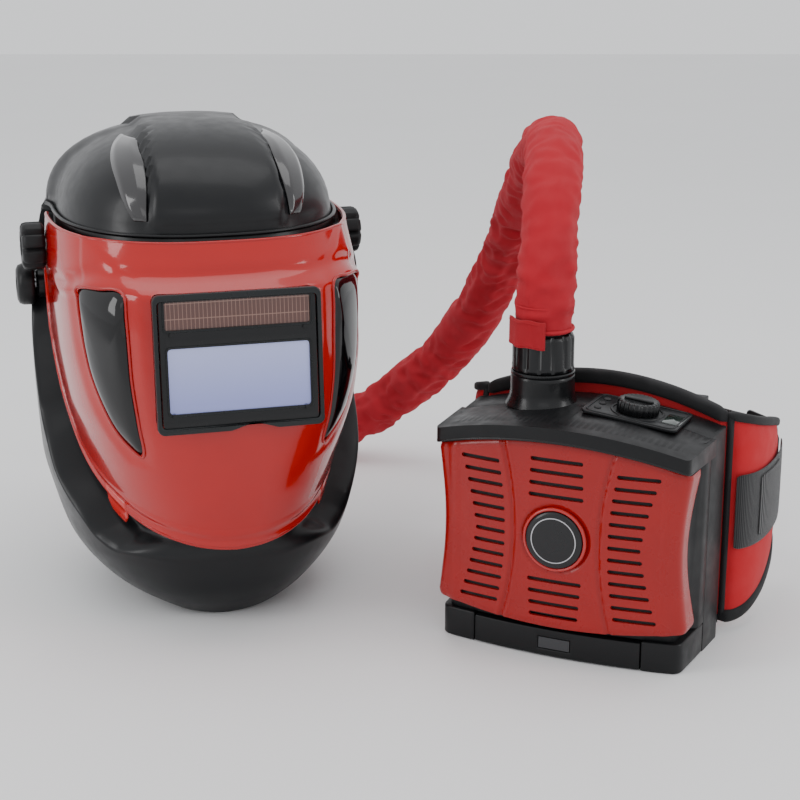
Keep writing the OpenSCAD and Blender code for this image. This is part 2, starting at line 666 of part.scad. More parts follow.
// ---- Hose ----
nut_h = 27;
nut_d = 44.5;
module nut(bore) {
    difference() {
        cylinder(h = nut_h, d = nut_d);
        translate([0, 0, -1]) cylinder(h = nut_h + 2, d = bore);
        for (k = [0 : 13]) rotate([0, 0, k * 360 / 14]) translate([nut_d / 2 + 1.6, 0, 3]) cylinder(h = nut_h, d = 6);
    }
}
module at_spigot() { in_blower() translate([spigot[0], spigot[1], 0]) children(); }
module blower_nut() { color("#1b1c1f") at_spigot() translate([0, 0, neck_z + 0.3]) nut(neck_d + 0.1); }
module helmet_nut() { color("#1b1c1f") at_elbow() translate([0, 0, neck_h - 11.7]) nut(32.1); }
cuff_h = 17.5;
module cuff() {
    difference() {
        cylinder(h = cuff_h, d = hose_d - 1);
        translate([0, 0, -1]) cylinder(h = cuff_h + 2, d = hose_d - 6);
    }
}
module blower_cuff() { color("#232428") at_spigot() translate([0, 0, neck_top + 0.5]) cuff(); }
module helmet_cuff() { color("#232428") at_elbow() translate([0, 0, neck_h + 0.5]) cuff(); }

// Both ends of the hose, at the cuffs' outer faces
function turned(p, a) = [p[0] * cos(a) - p[1] * sin(a), p[0] * sin(a) + p[1] * cos(a), p[2]];
hose_start = [blower_x, blower_y, 0] + turned([spigot[0], spigot[1], neck_top + 1.5 + cuff_h], blower_yaw);
elbow_dir = [0, sin(elbow_tilt), cos(elbow_tilt)];
hose_end = [helmet_x, helmet_y, 0] + turned(elbow + elbow_dir * (neck_h + 6.5 + cuff_h), helmet_yaw);
// Route from the blower over the arch, down to the floor behind the helmet and up to its elbow
route = concat([hose_start], [
    [105, -93, 254], [106, -90, 281], [108, -78, 305], [111, -56, 324], [114, -25, 335],
    [116, 13, 338], [116, 52, 333], [115, 92, 320], [112, 132, 300], [108, 170, 271],
    [100, 204, 236], [89, 231, 197], [73, 252, 157], [51, 267, 120], [24, 279, 89],
    [-6, 290, 62], [-40, 298, 40], [-76, 301, 27], [-112, 297, 23], [-145, 283, 32],
    [-172, 263, 53], [-191, 239, 83], [-201, 218, 119], [-205, 204, 155]], [hose_end]);
function unit(v) = v / norm(v);
function tangents(r) = [for (i = [0 : len(r) - 1]) unit(r[min(i + 1, len(r) - 1)] - r[max(i - 1, 0)])];
function transport(ts, i = 0, n = [1, 0, 0]) = i == len(ts) ? [] :
    let (m = n - ts[i] * (n * ts[i]), u = unit(m)) concat([u], transport(ts, i + 1, u));
function tube_rings(r, radius, sides = 12) =
    let (ts = tangents(r), ns = transport(ts))
    [for (i = [0 : len(r) - 1]) let (b = cross(ts[i], ns[i]))
        [for (k = [0 : sides - 1]) let (a = 360 * k / sides) r[i] + radius * (ns[i] * cos(a) + b * sin(a))]];
module breathing_hose() {
    color("#232428") grid_shell(tube_rings(route, hose_d / 2), tube_rings(route, hose_d / 2 - 3), wrap = true);
}
sleeve_gap = 2.2;
sleeve_route = concat([hose_start - [0, 0, sleeve_gap]],
    [for (i = [1 : len(route) - 2]) route[i]],
    [hose_end - turned(elbow_dir, helmet_yaw) * sleeve_gap]);
module hose_cover() {
    color("#c81e30") grid_shell(tube_rings(sleeve_route, sleeve_d / 2),
        tube_rings(sleeve_route, sleeve_d / 2 - sleeve_wall), wrap = true);
}
module hose_tab() {
    color("#b3121d") translate([hose_start[0], hose_start[1], neck_top + 6]) rotate([0, 0, -176])
        rotate_extrude(angle = 84, $fn = 96) translate([nut_d / 2 + 0.7, 0]) square([2.2, 21]);
}

// ---- Belt, in the blower's frame ----
loop_half = [
    [0, 6], [40, 6], [75, 6.5], [91, 8.5], [101, 16], [106.5, 32], [108, 58], [105, 90], [97, 118],
    [81, 144], [58, 163], [30, 175], [0, loop_d - 2]];
function loop_normal(i) = let (a = loop_half[max(i - 1, 0)], b = loop_half[min(i + 1, len(loop_half) - 1)], d = b - a)
    [d[1], -d[0]] / norm(d);
function loop_line(i0, i1, off) = [for (i = [i0 : i1]) loop_half[i] + loop_normal(i) * off];
// Upright sheet along a plan line; z0 and z1 give its lower and upper edge at each point
module upright(outer, inner, z0, z1, rows = 3) {
    ks = [for (j = [0 : rows]) j / rows];
    n = len(outer) - 1;
    grid_shell(
        [for (k = ks) [for (i = [0 : n]) [outer[i][0], outer[i][1], mix(z0[i], z1[i], k)]]],
        [for (k = ks) [for (i = [0 : n]) [inner[i][0], inner[i][1], mix(z0[i], z1[i], k)]]]);
}
module back_pad() {
    right_out = loop_line(0, 3, pad_t / 2);
    right_in = loop_line(0, 3, -pad_t / 2);
    out = concat([for (i = [3 : -1 : 1]) mirrored(right_out[i])], right_out);
    in = concat([for (i = [3 : -1 : 1]) mirrored(right_in[i])], right_in);
    color("#b8141f") in_blower() upright(out, in, [for (p = out) 5], [for (p = out) 188 - 20 * pow(p[0] / 92, 2)]);
}
pad_ends = [3, 8];
module side_pad() {
    out = loop_line(pad_ends[0], pad_ends[1], pad_t / 2);
    in = loop_line(pad_ends[0], pad_ends[1], -pad_t / 2);
    n = len(out) - 1;
    translate([0.8, 0.5, 0])
        upright(out, in, [for (i = [0 : n]) 6 + 36 * pow(i / n, 2)], [for (i = [0 : n]) 167 - 36 * pow(i / n, 1.6)]);
}
module side_pad_right() { color("#d3202d") in_blower() side_pad(); }
module side_pad_left() { color("#d3202d") in_blower() mirror([1, 0, 0]) side_pad(); }
band_z = 69;
module webbing_half(i0, i1, lift) {
    out = loop_line(i0, i1, pad_t / 2 + lift + 1.6);
    in = loop_line(i0, i1, pad_t / 2 + lift);
    upright(out, in, [for (p = out) band_z], [for (p = out) band_z + webbing_w], 1);
}
module waist_webbing() {
    color("#17181a") in_blower() {
        webbing_half(4, 11, 1.6);
        mirror([1, 0, 0]) webbing_half(4, 10, 1.6);
    }
}
buckle_y = loop_d + 1;
module buckle_socket() {
    color("#1d1e21") in_blower() difference() {
        translate([-4, buckle_y, band_z - 5]) cube([32, 11, 60]);
        translate([-5, buckle_y + 3, band_z]) cube([24, 5, 50]);
    }
}
module buckle_plug() {
    color("#1d1e21") in_blower() difference() {
        union() {
            translate([-30, buckle_y + 0.5, band_z - 4]) cube([25, 10, 58]);
            for (z = [band_z + 1, band_z + 21, band_z + 42]) translate([-8, buckle_y + 3.4, z]) cube([24, 4.2, 7]);
        }
        translate([-24, buckle_y, band_z - 1]) cube([5, 12, 52]);
    }
    color("#17181a") in_blower() mirror([1, 0, 0]) webbing_half(10, 11, 4);
}

helmet_shell();
dome_inserts();
clear_lens();
lens_seal();
air_duct();
duct_outlet();
helmet_connector();
neck_seal();
visor_pivot_pins();
headgear_pins();
visor_shell();
filter_frame();
filter_cartridge();
view_window();
solar_strip();
side_window_left();
side_window_right();
lift_tabs();
frame_screws();
visor_knob_left();
visor_knob_right();
headgear_knob_left();
headgear_knob_right();
headband();
sweatband();
crown_strap();
ratchet_housing();
ratchet_knob();
rear_housing();
front_housing();
battery_pack();
battery_latch();
filter_cover();
badge();
spark_arrestor();
prefilter();
particle_filter();
filter_seal();
volute();
motor();
impeller();
control_board();
control_panel();
display();
speed_knob();
outlet_spigot();
housing_screws();
blower_nut();
helmet_nut();
blower_cuff();
helmet_cuff();
breathing_hose();
hose_cover();
hose_tab();
back_pad();
side_pad_left();
side_pad_right();
waist_webbing();
buckle_socket();
buckle_plug();
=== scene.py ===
import math
from math import cos, pi, radians, sin

import bmesh
import bpy
from mathutils import Matrix, Vector, noise


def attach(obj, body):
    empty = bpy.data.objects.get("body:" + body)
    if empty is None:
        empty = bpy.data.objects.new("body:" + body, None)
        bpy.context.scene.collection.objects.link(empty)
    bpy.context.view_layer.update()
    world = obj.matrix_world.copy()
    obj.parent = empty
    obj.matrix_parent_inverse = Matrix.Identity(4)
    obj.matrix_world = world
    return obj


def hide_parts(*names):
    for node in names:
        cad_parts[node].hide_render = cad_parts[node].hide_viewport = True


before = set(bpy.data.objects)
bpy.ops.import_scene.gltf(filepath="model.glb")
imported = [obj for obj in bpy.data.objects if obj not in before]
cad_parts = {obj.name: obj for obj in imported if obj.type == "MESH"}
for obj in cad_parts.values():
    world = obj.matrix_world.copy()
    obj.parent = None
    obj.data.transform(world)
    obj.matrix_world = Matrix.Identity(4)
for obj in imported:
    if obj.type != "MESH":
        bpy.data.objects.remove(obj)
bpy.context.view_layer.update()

MM = 0.001
HELMET = Matrix.Translation((-0.156, 0.022, 0)) @ Matrix.Rotation(radians(16), 4, "Z")
BLOWER = Matrix.Translation((0.148, -0.081, 0)) @ Matrix.Rotation(radians(-25), 4, "Z")
WORLD = Matrix.Identity(4)

# ---- Camera: 16 degrees down, long lens ----
cam_data = bpy.data.cameras.new("camera")
cam_data.lens = 81.2
cam_data.sensor_width = 36
cam = bpy.data.objects.new("camera", cam_data)
cam.location = (0.002, -1.3366, 0.5263)
cam.rotation_euler = (radians(74), 0, 0)
bpy.context.scene.collection.objects.link(cam)
bpy.context.scene.camera = cam


# ---- Small maths ----
def mix(a, b, t):
    return a + (b - a) * t


def smooth(t):
    t = min(1.0, max(0.0, t))
    return t * t * (3 - 2 * t)


def bump_at(x, centre, width):
    """1 at the centre, 0 from a width away, smooth between."""
    t = abs(x - centre) / width
    return 0.0 if t >= 1 else (1 - t * t) ** 2


def spow(v, e):
    return math.copysign(abs(v) ** e, v)


def spline(rows, x, k=1):
    """Monotone cubic through rows of (x, y1, y2, ...)."""
    n = len(rows)
    if x <= rows[0][0]:
        return rows[0][k]
    if x >= rows[-1][0]:
        return rows[-1][k]
    i = max(j for j in range(n - 1) if rows[j][0] <= x)
    d = [(rows[j + 1][k] - rows[j][k]) / (rows[j + 1][0] - rows[j][0]) for j in range(n - 1)]

    def slope(j):
        if j == 0:
            return d[0]
        if j == n - 1:
            return d[-1]
        return 0.0 if d[j - 1] * d[j] <= 0 else 2 * d[j - 1] * d[j] / (d[j - 1] + d[j])

    h = rows[i + 1][0] - rows[i][0]
    t = (x - rows[i][0]) / h
    a, b = rows[i][k], rows[i + 1][k]
    m0, m1 = slope(i) * h, slope(i + 1) * h
    return (2 * t ** 3 - 3 * t ** 2 + 1) * a + (t ** 3 - 2 * t ** 2 + t) * m0 + (3 * t ** 2 - 2 * t ** 3) * b + (t ** 3 - t ** 2) * m1


def table(rows, x, k=1):
    """Straight lines through rows of (x, y1, y2, ...)."""
    if x <= rows[0][0]:
        return rows[0][k]
    for a, b in zip(rows, rows[1:]):
        if x <= b[0]:
            return mix(a[k], b[k], (x - a[0]) / (b[0] - a[0]))
    return rows[-1][k]


# ---- Mesh helpers (points in millimetres, meshes in metres) ----
def make(name, verts, faces, mat, m=WORLD, uvs=None, sharp=35):
    me = bpy.data.meshes.new(name)
    me.from_pydata([m @ (Vector(v) * MM) for v in verts], [], faces)
    if uvs:
        layer = me.uv_layers.new(name="uv")
        for loop in me.loops:
            layer.data[loop.index].uv = uvs[loop.vertex_index]
    me.validate()
    o = bpy.data.objects.new(name, me)
    bpy.context.scene.collection.objects.link(o)
    o.data.materials.append(mat)
    shade(o, sharp)
    return o


def shade(o, angle=35):
    o.data.shade_smooth()
    o.data.set_sharp_from_angle(angle=radians(angle))


def bake(o, angle=35):
    """Applies the object's modifiers."""
    dg = bpy.context.evaluated_depsgraph_get()
    me = bpy.data.meshes.new_from_object(o.evaluated_get(dg))
    o.modifiers.clear()
    o.data = me
    shade(o, angle)
    return o


def mod(o, kind, **values):
    md = o.modifiers.new(kind.lower(), kind)
    for k, v in values.items():
        setattr(md, k, v)
    return md


def drop(o):
    bpy.data.objects.remove(o, do_unlink=True)


def cut(o, *cutters, op="DIFFERENCE"):
    for c in cutters:
        mod(o, "BOOLEAN", operation=op, solver="EXACT", object=c)
        bake(o)
        drop(c)
    return o


def fix_normals(o):
    bm = bmesh.new()
    bm.from_mesh(o.data)
    bmesh.ops.remove_doubles(bm, verts=bm.verts, dist=1e-6)
    bmesh.ops.recalc_face_normals(bm, faces=bm.faces)
    bm.to_mesh(o.data)
    bm.free()
    return o


def bevel(o, mm, segments=2, angle=30, sharp=40):
    mod(o, "BEVEL", width=mm * MM, segments=segments, limit_method="ANGLE", angle_limit=radians(angle))
    return bake(o, sharp)


def grid(name, rows, mat, m=WORLD, wrap=False, thick=0.0, cap=False, sharp=35, keep=None, uv=True, sub=0):
    """Sheet through rows of points; thick (mm) grows it inwards."""
    r, c = len(rows), len(rows[0])
    verts = [p for row in rows for p in row]
    cells = c if wrap else c - 1
    faces = []
    for j in range(r - 1):
        for i in range(cells):
            if keep and not keep(i, j):
                continue
            k = (i + 1) % c
            faces.append((j * c + i, j * c + k, (j + 1) * c + k, (j + 1) * c + i))
    if cap:
        faces.append(tuple((r - 1) * c + i for i in range(c)))
    uvs = None
    if uv:
        mid = rows[r // 2]
        us = [0.0]
        for i in range(1, c):
            us.append(us[-1] + (Vector(mid[i]) - Vector(mid[i - 1])).length * MM)
        col = [row[c // 2] for row in rows]
        vs = [0.0]
        for j in range(1, r):
            vs.append(vs[-1] + (Vector(col[j]) - Vector(col[j - 1])).length * MM)
        uvs = [(us[i], vs[j]) for j in range(r) for i in range(c)]
    o = make(name, verts, faces, mat, m, uvs, sharp)
    if thick:
        mod(o, "SOLIDIFY", thickness=thick * MM, offset=-1, use_even_offset=True)
    if sub:
        mod(o, "SUBSURF", levels=sub, render_levels=sub)
    if thick or sub:
        bake(o, sharp)
    return o


def revolve(name, profile, mat, m, steps=64, radius=None, sharp=35):
    """Turns a closed (r, z) profile about Z; radius(r, a, z) may shape it."""
    verts, faces = [], []
    n = len(profile)
    for k in range(steps):
        a = 2 * pi * k / steps
        for r, z in profile:
            q = radius(r, a, z) if radius else r
            verts.append((q * cos(a), q * sin(a), z))
    for k in range(steps):
        for i in range(n):
            a, b = k * n + i, k * n + (i + 1) % n
            c, d = ((k + 1) % steps) * n + (i + 1) % n, ((k + 1) % steps) * n + i
            faces.append((a, d, c, b))
    o = make(name, verts, faces, mat, m, None, sharp)
    return fix_normals(o)


def prism(name, outline, z0, z1, mat, m, bevel_mm=0.0, segments=2, sharp=35):
    """Upright block over an outline of (x, y)."""
    n = len(outline)
    verts = [(x, y, z0) for x, y in outline] + [(x, y, z1) for x, y in outline]
    faces = [tuple(range(n - 1, -1, -1)), tuple(range(n, 2 * n))]
    faces += [(i, (i + 1) % n, n + (i + 1) % n, n + i) for i in range(n)]
    o = fix_normals(make(name, verts, faces, mat, m, None, sharp))
    if bevel_mm:
        bevel(o, bevel_mm, segments)
    return o


def block(name, lo, hi, mat, m, bevel_mm=0.0, segments=2):
    return prism(name, [(lo[0], lo[1]), (hi[0], lo[1]), (hi[0], hi[1]), (lo[0], hi[1])], lo[2], hi[2], mat,
            m, bevel_mm, segments)


def rounded(w, h, r, n=6, cx=0.0, cy=0.0):
    """Outline of a rounded rectangle."""
    out = []
    for sx, sy, a0 in ((1, 1, 0), (-1, 1, 90), (-1, -1, 180), (1, -1, 270)):
        for k in range(n + 1):
            a = radians(a0 + 90 * k / n)
            out.append((cx + sx * (w / 2 - r) + r * cos(a), cy + sy * (h / 2 - r) + r * sin(a)))
    return out


def sweep(name, pts, section, mat, m=WORLD, closed=False, sharp=60, uv=False, cap=True):
    """Tube: section(i) is the list of (x, y) offsets in mm at point i."""
    P = [Vector(p) for p in pts]
    n = len(P)
    tang = []
    for i in range(n):
        a = P[(i - 1) % n] if closed else P[max(i - 1, 0)]
        b = P[(i + 1) % n] if closed else P[min(i + 1, n - 1)]
        tang.append((b - a).normalized())
    ref = Vector((1, 0, 0)) if abs(tang[0].x) < 0.9 else Vector((0, 0, 1))
    side = (ref - tang[0] * ref.dot(tang[0])).normalized()
    rows = []
    for i in range(n):
        side = (side - tang[i] * side.dot(tang[i])).normalized()
        up = tang[i].cross(side)
        rows.append([tuple(P[i] + side * x + up * y) for x, y in section(i)])
    verts = [v for r in rows for v in r]
    c = len(rows[0])
    faces = []
    for j in range(n if closed else n - 1):
        for i in range(c):
            k, l = (i + 1) % c, (j + 1) % n
            faces.append((j * c + i, j * c + k, l * c + k, l * c + i))
    if cap and not closed:
        faces.append(tuple(range(c - 1, -1, -1)))
        faces.append(tuple((n - 1) * c + i for i in range(c)))
    uvs = None
    if uv:
        s = [0.0]
        for i in range(1, n):
            s.append(s[-1] + (P[i] - P[i - 1]).length * MM)
        ring = rows[n // 2]
        girth = sum((Vector(ring[i]) - Vector(ring[i - 1])).length for i in range(c)) * MM
        uvs = [(girth * i / c, s[j]) for j in range(n) for i in range(c)]
    o = make(name, verts, faces, mat, m, uvs, sharp)
    return fix_normals(o)


def ring(radius, n=20):
    return [(radius * cos(2 * pi * k / n), radius * sin(2 * pi * k / n)) for k in range(n)]


def cat(points, n, closed=False):
    """Catmull-Rom curve through points, n steps to a span."""
    P = [Vector(p) for p in points]
    out = []
    count = len(P) if closed else len(P) - 1
    for i in range(count):
        p0 = P[i - 1] if (closed or i > 0) else P[0] * 2 - P[1]
        p1, p2 = P[i], P[(i + 1) % len(P)]
        p3 = P[(i + 2) % len(P)] if (closed or i + 2 < len(P)) else P[-1] * 2 - P[-2]
        for k in range(n):
            t = k / n
            out.append(0.5 * (2 * p1 + (p2 - p0) * t + (2 * p0 - 5 * p1 + 4 * p2 - p3) * t * t + (3 * p1 - p0 - 3 * p2 + p3) * t ** 3))
    if not closed:
        out.append(P[-1])
    return out


def done(o, body, slot, *nodes):
    """Rides a piece on its body and hides the CAD nodes it stands for; slot is not used."""
    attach(o, body)
    if nodes:
        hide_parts(*nodes)
    return o


def at(m, x, y, z, rx=0.0, ry=0.0, rz=0.0):
    """Frame at a point (mm) of m, turned about X, then Y, then Z (degrees)."""
    turn = Matrix.Rotation(radians(rz), 4, "Z") @ Matrix.Rotation(radians(ry), 4,
            "Y") @ Matrix.Rotation(radians(rx), 4, "X")
    return m @ Matrix.Translation(Vector((x, y, z)) * MM) @ turn


# ---- Materials ----
class Nodes:
    """Short names for building one material."""

    def __init__(self, name, color, rough, metallic=0.0, **own):
        self.mat = bpy.data.materials.new(name)
        self.mat.use_nodes = True
        self.tree = self.mat.node_tree
        self.bsdf = self.tree.nodes["Principled BSDF"]
        self.mat.diffuse_color = (*color, 1)
        self.bsdf.inputs["Base Color"].default_value = (*color, 1)
        self.bsdf.inputs["Roughness"].default_value = rough
        self.bsdf.inputs["Metallic"].default_value = metallic
        for k, v in own.items():
            self.bsdf.inputs[k.replace("_", " ")].default_value = v
        self.color = color

    def add(self, kind, **values):
        n = self.tree.nodes.new("ShaderNode" + kind)
        for k, v in values.items():
            if hasattr(n, k) and k not in n.inputs:
                setattr(n, k, v)
            else:
                n.inputs[k].default_value = v
        return n

    def link(self, a, b):
        self.tree.links.new(a, b)

    def coords(self, uv=False):
        return self.add("TexCoord").outputs["UV" if uv else "Object"]

    def noise(self, scale, detail=3.0, uv=False, stretch=None):
        n = self.add("TexNoise")
        n.inputs["Scale"].default_value = scale
        n.inputs["Detail"].default_value = detail
        src = self.coords(uv)
        if stretch:
            mp = self.add("Mapping")
            mp.inputs["Scale"].default_value = stretch
            self.link(src, mp.inputs["Vector"])
            src = mp.outputs["Vector"]
        self.link(src, n.inputs["Vector"])
        return n.outputs["Fac"]

    def remap(self, value, lo, hi, a=0.3, b=0.7):
        n = self.add("MapRange")
        for k, v in (("From Min", a), ("From Max", b), ("To Min", lo), ("To Max", hi)):
            n.inputs[k].default_value = v
        self.link(value, n.inputs["Value"])
        return n.outputs["Result"]

    def math(self, op, a, b=None):
        n = self.add("Math", operation=op)
        for i, v in enumerate((a, b)):
            if v is None:
                continue
            if isinstance(v, (int, float)):
                n.inputs[i].default_value = v
            else:
                self.link(v, n.inputs[i])
        return n.outputs[0]

    def vary_color(self, fac, dark=0.85, light=1.15, tint=(1, 1, 1)):
        n = self.add("ValToRGB")
        n.color_ramp.elements[0].position = 0.3
        n.color_ramp.elements[1].position = 0.7
        n.color_ramp.elements[0].color = (*[c * dark for c in self.color], 1)
        n.color_ramp.elements[1].color = (*[min(1, c * light * t) for c, t in zip(self.color, tint)], 1)
        self.link(fac, n.inputs["Fac"])
        self.link(n.outputs["Color"], self.bsdf.inputs["Base Color"])
        return self

    def vary_rough(self, fac, lo, hi):
        self.link(self.remap(fac, lo, hi), self.bsdf.inputs["Roughness"])
        return self

    def bump(self, *heights):
        """heights: (value, distance in metres, strength)."""
        last = None
        for value, distance, strength in heights:
            n = self.add("Bump")
            n.inputs["Distance"].default_value = distance
            n.inputs["Strength"].default_value = strength
            self.link(value, n.inputs["Height"])
            if last:
                self.link(last, n.inputs["Normal"])
            last = n.outputs["Normal"]
        self.link(last, self.bsdf.inputs["Normal"])
        return self

    def weave(self, per_m, rib=1.0):
        """Plain weave in UV metres."""
        sep = self.add("SeparateXYZ")
        self.link(self.coords(True), sep.inputs[0])
        x = self.math("SINE", self.math("MULTIPLY", sep.outputs[0], per_m * 2 * pi))
        y = self.math("SINE", self.math("MULTIPLY", sep.outputs[1], per_m * 2 * pi * rib))
        return self.math("MULTIPLY", x, y)

    def ribs(self, per_m, axis=1):
        sep = self.add("SeparateXYZ")
        self.link(self.coords(True), sep.inputs[0])
        return self.math("SINE", self.math("MULTIPLY", sep.outputs[axis], per_m * 2 * pi))


def moulded(name, color, rough=0.45, grain=1400, depth=0.00006, coat=0.0, wear=0.05, metallic=0.0,
        rough_span=0.08, **own):
    """Moulded plastic or rubber with a fine grain and slight unevenness."""
    m = Nodes(name, color, rough, metallic, Coat_Weight=coat, Coat_Roughness=0.04, **own)
    fine, broad = m.noise(grain, 2), m.noise(38, 4)
    m.vary_color(broad, 1 - wear, 1 + wear)
    m.vary_rough(m.noise(90, 5), rough - rough_span, rough + rough_span)
    m.bump((fine, depth, 0.35), (broad, depth * 3, 0.12))
    return m.mat


def cloth(name, color, per_m=900, depth=0.00035, sheen=0.35, rough=0.85, uv=True, fuzz=0.12):
    """Woven cloth; with uv=False a knitted face with no direction."""
    m = Nodes(name, color, rough, Sheen_Weight=sheen, Sheen_Roughness=0.45,
            Sheen_Tint=(*[min(1, c + 0.25) for c in color], 1))
    pattern = m.weave(per_m) if uv else m.noise(per_m, 3)
    broad = m.noise(24, 5)
    m.vary_color(broad, 1 - fuzz, 1 + fuzz)
    m.vary_rough(m.noise(70, 4), rough - 0.07, min(1, rough + 0.07))
    m.bump((pattern, depth, 0.5), (m.noise(220, 4), 0.0004, 0.25))
    return m.mat


def webbing_mat(name, color, per_m=420, depth=0.0005):
    m = Nodes(name, color, 0.75, Sheen_Weight=0.3, Sheen_Roughness=0.4)
    m.vary_color(m.noise(60, 4), 0.8, 1.35)
    m.bump((m.ribs(per_m, 0), depth, 0.7), (m.weave(1400), 0.0002, 0.5))
    return m.mat


def metal(name, color, rough=0.32, scale=700):
    m = Nodes(name, color, rough, 1.0)
    streak = m.noise(scale, 3, stretch=(1, 1, 12))
    m.vary_color(m.noise(50, 3), 0.9, 1.08)
    m.vary_rough(streak, rough - 0.1, rough + 0.12)
    m.bump((streak, 0.00004, 0.25))
    return m.mat


def glassy(name, color, rough=0.06, transmission=0.0, metallic=0.0, alpha=1.0, ior=1.5, coat=0.6):
    m = Nodes(name, color, rough, metallic, Transmission_Weight=transmission, Alpha=alpha, IOR=ior,
            Coat_Weight=coat, Coat_Roughness=0.02)
    m.vary_color(m.noise(14, 3), 0.9, 1.08)
    m.vary_rough(m.noise(60, 3), max(0.01, rough - 0.03), rough + 0.04)
    return m.mat


MAT = {
    "shell": moulded("shell_black", (0.0045, 0.005, 0.006), 0.33, grain=2600, depth=0.00003, coat=0.05,
            rough_span=0.05, Specular_IOR_Level=0.3),
    "insert": moulded("insert_smoke", (0.020, 0.019, 0.020), 0.16, grain=2600, depth=0.00001, coat=0.6,
            rough_span=0.03),
    "visor": moulded("visor_red", (0.40, 0.002, 0.001), 0.16, grain=2400, depth=0.000012, coat=0.55,
            wear=0.03, rough_span=0.04, Specular_IOR_Level=0.3),
    # painted shade: a darker copy of the visor red, used on the visor's own rolled rims, brow edge and window beads
    "visor_rim": moulded("visor_rim_red", (0.36, 0.002, 0.001), 0.2, grain=2400, depth=0.000012, coat=0.5,
            wear=0.03, rough_span=0.04, Specular_IOR_Level=0.3),
    "frame": moulded("frame_grey", (0.008, 0.010, 0.011), 0.3, grain=3000, depth=0.00003, coat=0.1,
            Specular_IOR_Level=0.3),
    "side_lens": moulded("side_lens", (0.0016, 0.0014, 0.002), 0.07, grain=2000, depth=0.000006, coat=0.5,
            rough_span=0.03, Specular_IOR_Level=0.25),
    "black": moulded("black_plastic", (0.0045, 0.0048, 0.0055), 0.42, grain=1900, depth=0.00008,
            Specular_IOR_Level=0.28),
    "black_gloss": moulded("black_satin", (0.0045, 0.0048, 0.0055), 0.3, grain=2400, depth=0.00003,
            coat=0.12, Specular_IOR_Level=0.3),
    "inner": moulded("inner_plastic", (0.03, 0.031, 0.034), 0.5, grain=1600, depth=0.0001),
    "panel": moulded("panel_plastic", (0.008, 0.0085, 0.0095), 0.38, grain=2200, depth=0.00005,
            Specular_IOR_Level=0.3),
    "rubber": moulded("seal_rubber", (0.016, 0.016, 0.017), 0.7, grain=900, depth=0.00012),
    "strap": moulded("strap_plastic", (0.035, 0.037, 0.042), 0.4, grain=1800, depth=0.00006),
    "red_cover": moulded("cover_red", (0.30, 0.002, 0.001), 0.3, grain=2000, depth=0.00005, coat=0.3,
            wear=0.04, Specular_IOR_Level=0.3),
    "badge": moulded("badge_grey", (0.008, 0.008, 0.009), 0.3, grain=2400, depth=0.00003, coat=0.2,
            Specular_IOR_Level=0.3),
    "badge_ring": moulded("badge_ring_red", (0.42, 0.010, 0.008), 0.28, grain=2400, depth=0.00002,
            coat=0.5),
    "tab_red": moulded("tab_red", (0.52, 0.010, 0.006), 0.25, grain=2200, depth=0.00003, coat=0.6),
    "fan": moulded("fan_grey", (0.42, 0.43, 0.44), 0.42, grain=1500, depth=0.00008),
    "paper": cloth("filter_paper", (0.72, 0.71, 0.68), 700, 0.0003, 0.1, 0.9, uv=False),
    "fabric_red": cloth("cover_fabric", (0.42, 0.002, 0.013), 1100, 0.00022, 0.1, 0.82, fuzz=0.05),
    "tab_fabric": cloth("tab_fabric", (0.36, 0.002, 0.010), 900, 0.0003, 0.25, 0.85),
    "pad_red": cloth("pad_neoprene", (0.44, 0.002, 0.008), 1300, 0.00025, 0.1, 0.84, uv=False, fuzz=0.05),
    "pad_back": cloth("pad_back", (0.36, 0.002, 0.006), 1300, 0.00025, 0.1, 0.86, uv=False, fuzz=0.05),
    "binding": cloth("black_binding", (0.005, 0.005, 0.006), 900, 0.0003, 0.12, 0.82, uv=False),
    "black_fabric": cloth("black_fabric", (0.016, 0.016, 0.018), 800, 0.0004, 0.35, 0.88),
    "foam": cloth("sweat_foam", (0.05, 0.052, 0.058), 500, 0.0005, 0.3, 0.92, uv=False),
    "webbing": webbing_mat("webbing", (0.014, 0.014, 0.015)),
    "elastic": webbing_mat("elastic_band", (0.008, 0.008, 0.009), 900, 0.0002),
    "steel": metal("pin_metal", (0.52, 0.52, 0.54)),
    "mesh": metal("mesh_steel", (0.42, 0.43, 0.44), 0.4, 1600),
    "motor": metal("motor_metal", (0.38, 0.39, 0.41), 0.3),
    "clear": glassy("lens_clear", (0.82, 0.86, 0.88), 0.05, 0.0, 0.0, 0.25),
    "display": glassy("display_dark", (0.020, 0.032, 0.026), 0.12),
    "hose": moulded("hose_rubber", (0.014, 0.014, 0.015), 0.5, grain=1500, depth=0.0001),
}


def window_mat():
    """Lavender, half-mirrored welding filter, with a painted reflection that makes it lighter at the top."""
    m = Nodes("filter_window", (0.27, 0.28, 0.56), 0.12, 0.35, Coat_Weight=0.8, Coat_Roughness=0.03)
    sep = m.add("SeparateXYZ")
    m.link(m.coords(), sep.inputs[0])
    # painted reflection: the colour ramps by height from a darker lavender at the window's foot to a lighter one at
    # its top
    n = m.add("ValToRGB")
    n.color_ramp.elements[0].color = (0.30, 0.33, 0.66, 1)
    n.color_ramp.elements[1].color = (0.50, 0.54, 0.84, 1)
    m.link(m.remap(sep.outputs[2], 0, 1, 0.185, 0.232), n.inputs["Fac"])
    m.link(n.outputs["Color"], m.bsdf.inputs["Base Color"])
    m.vary_rough(m.noise(40, 3), 0.08, 0.16)
    return m.mat


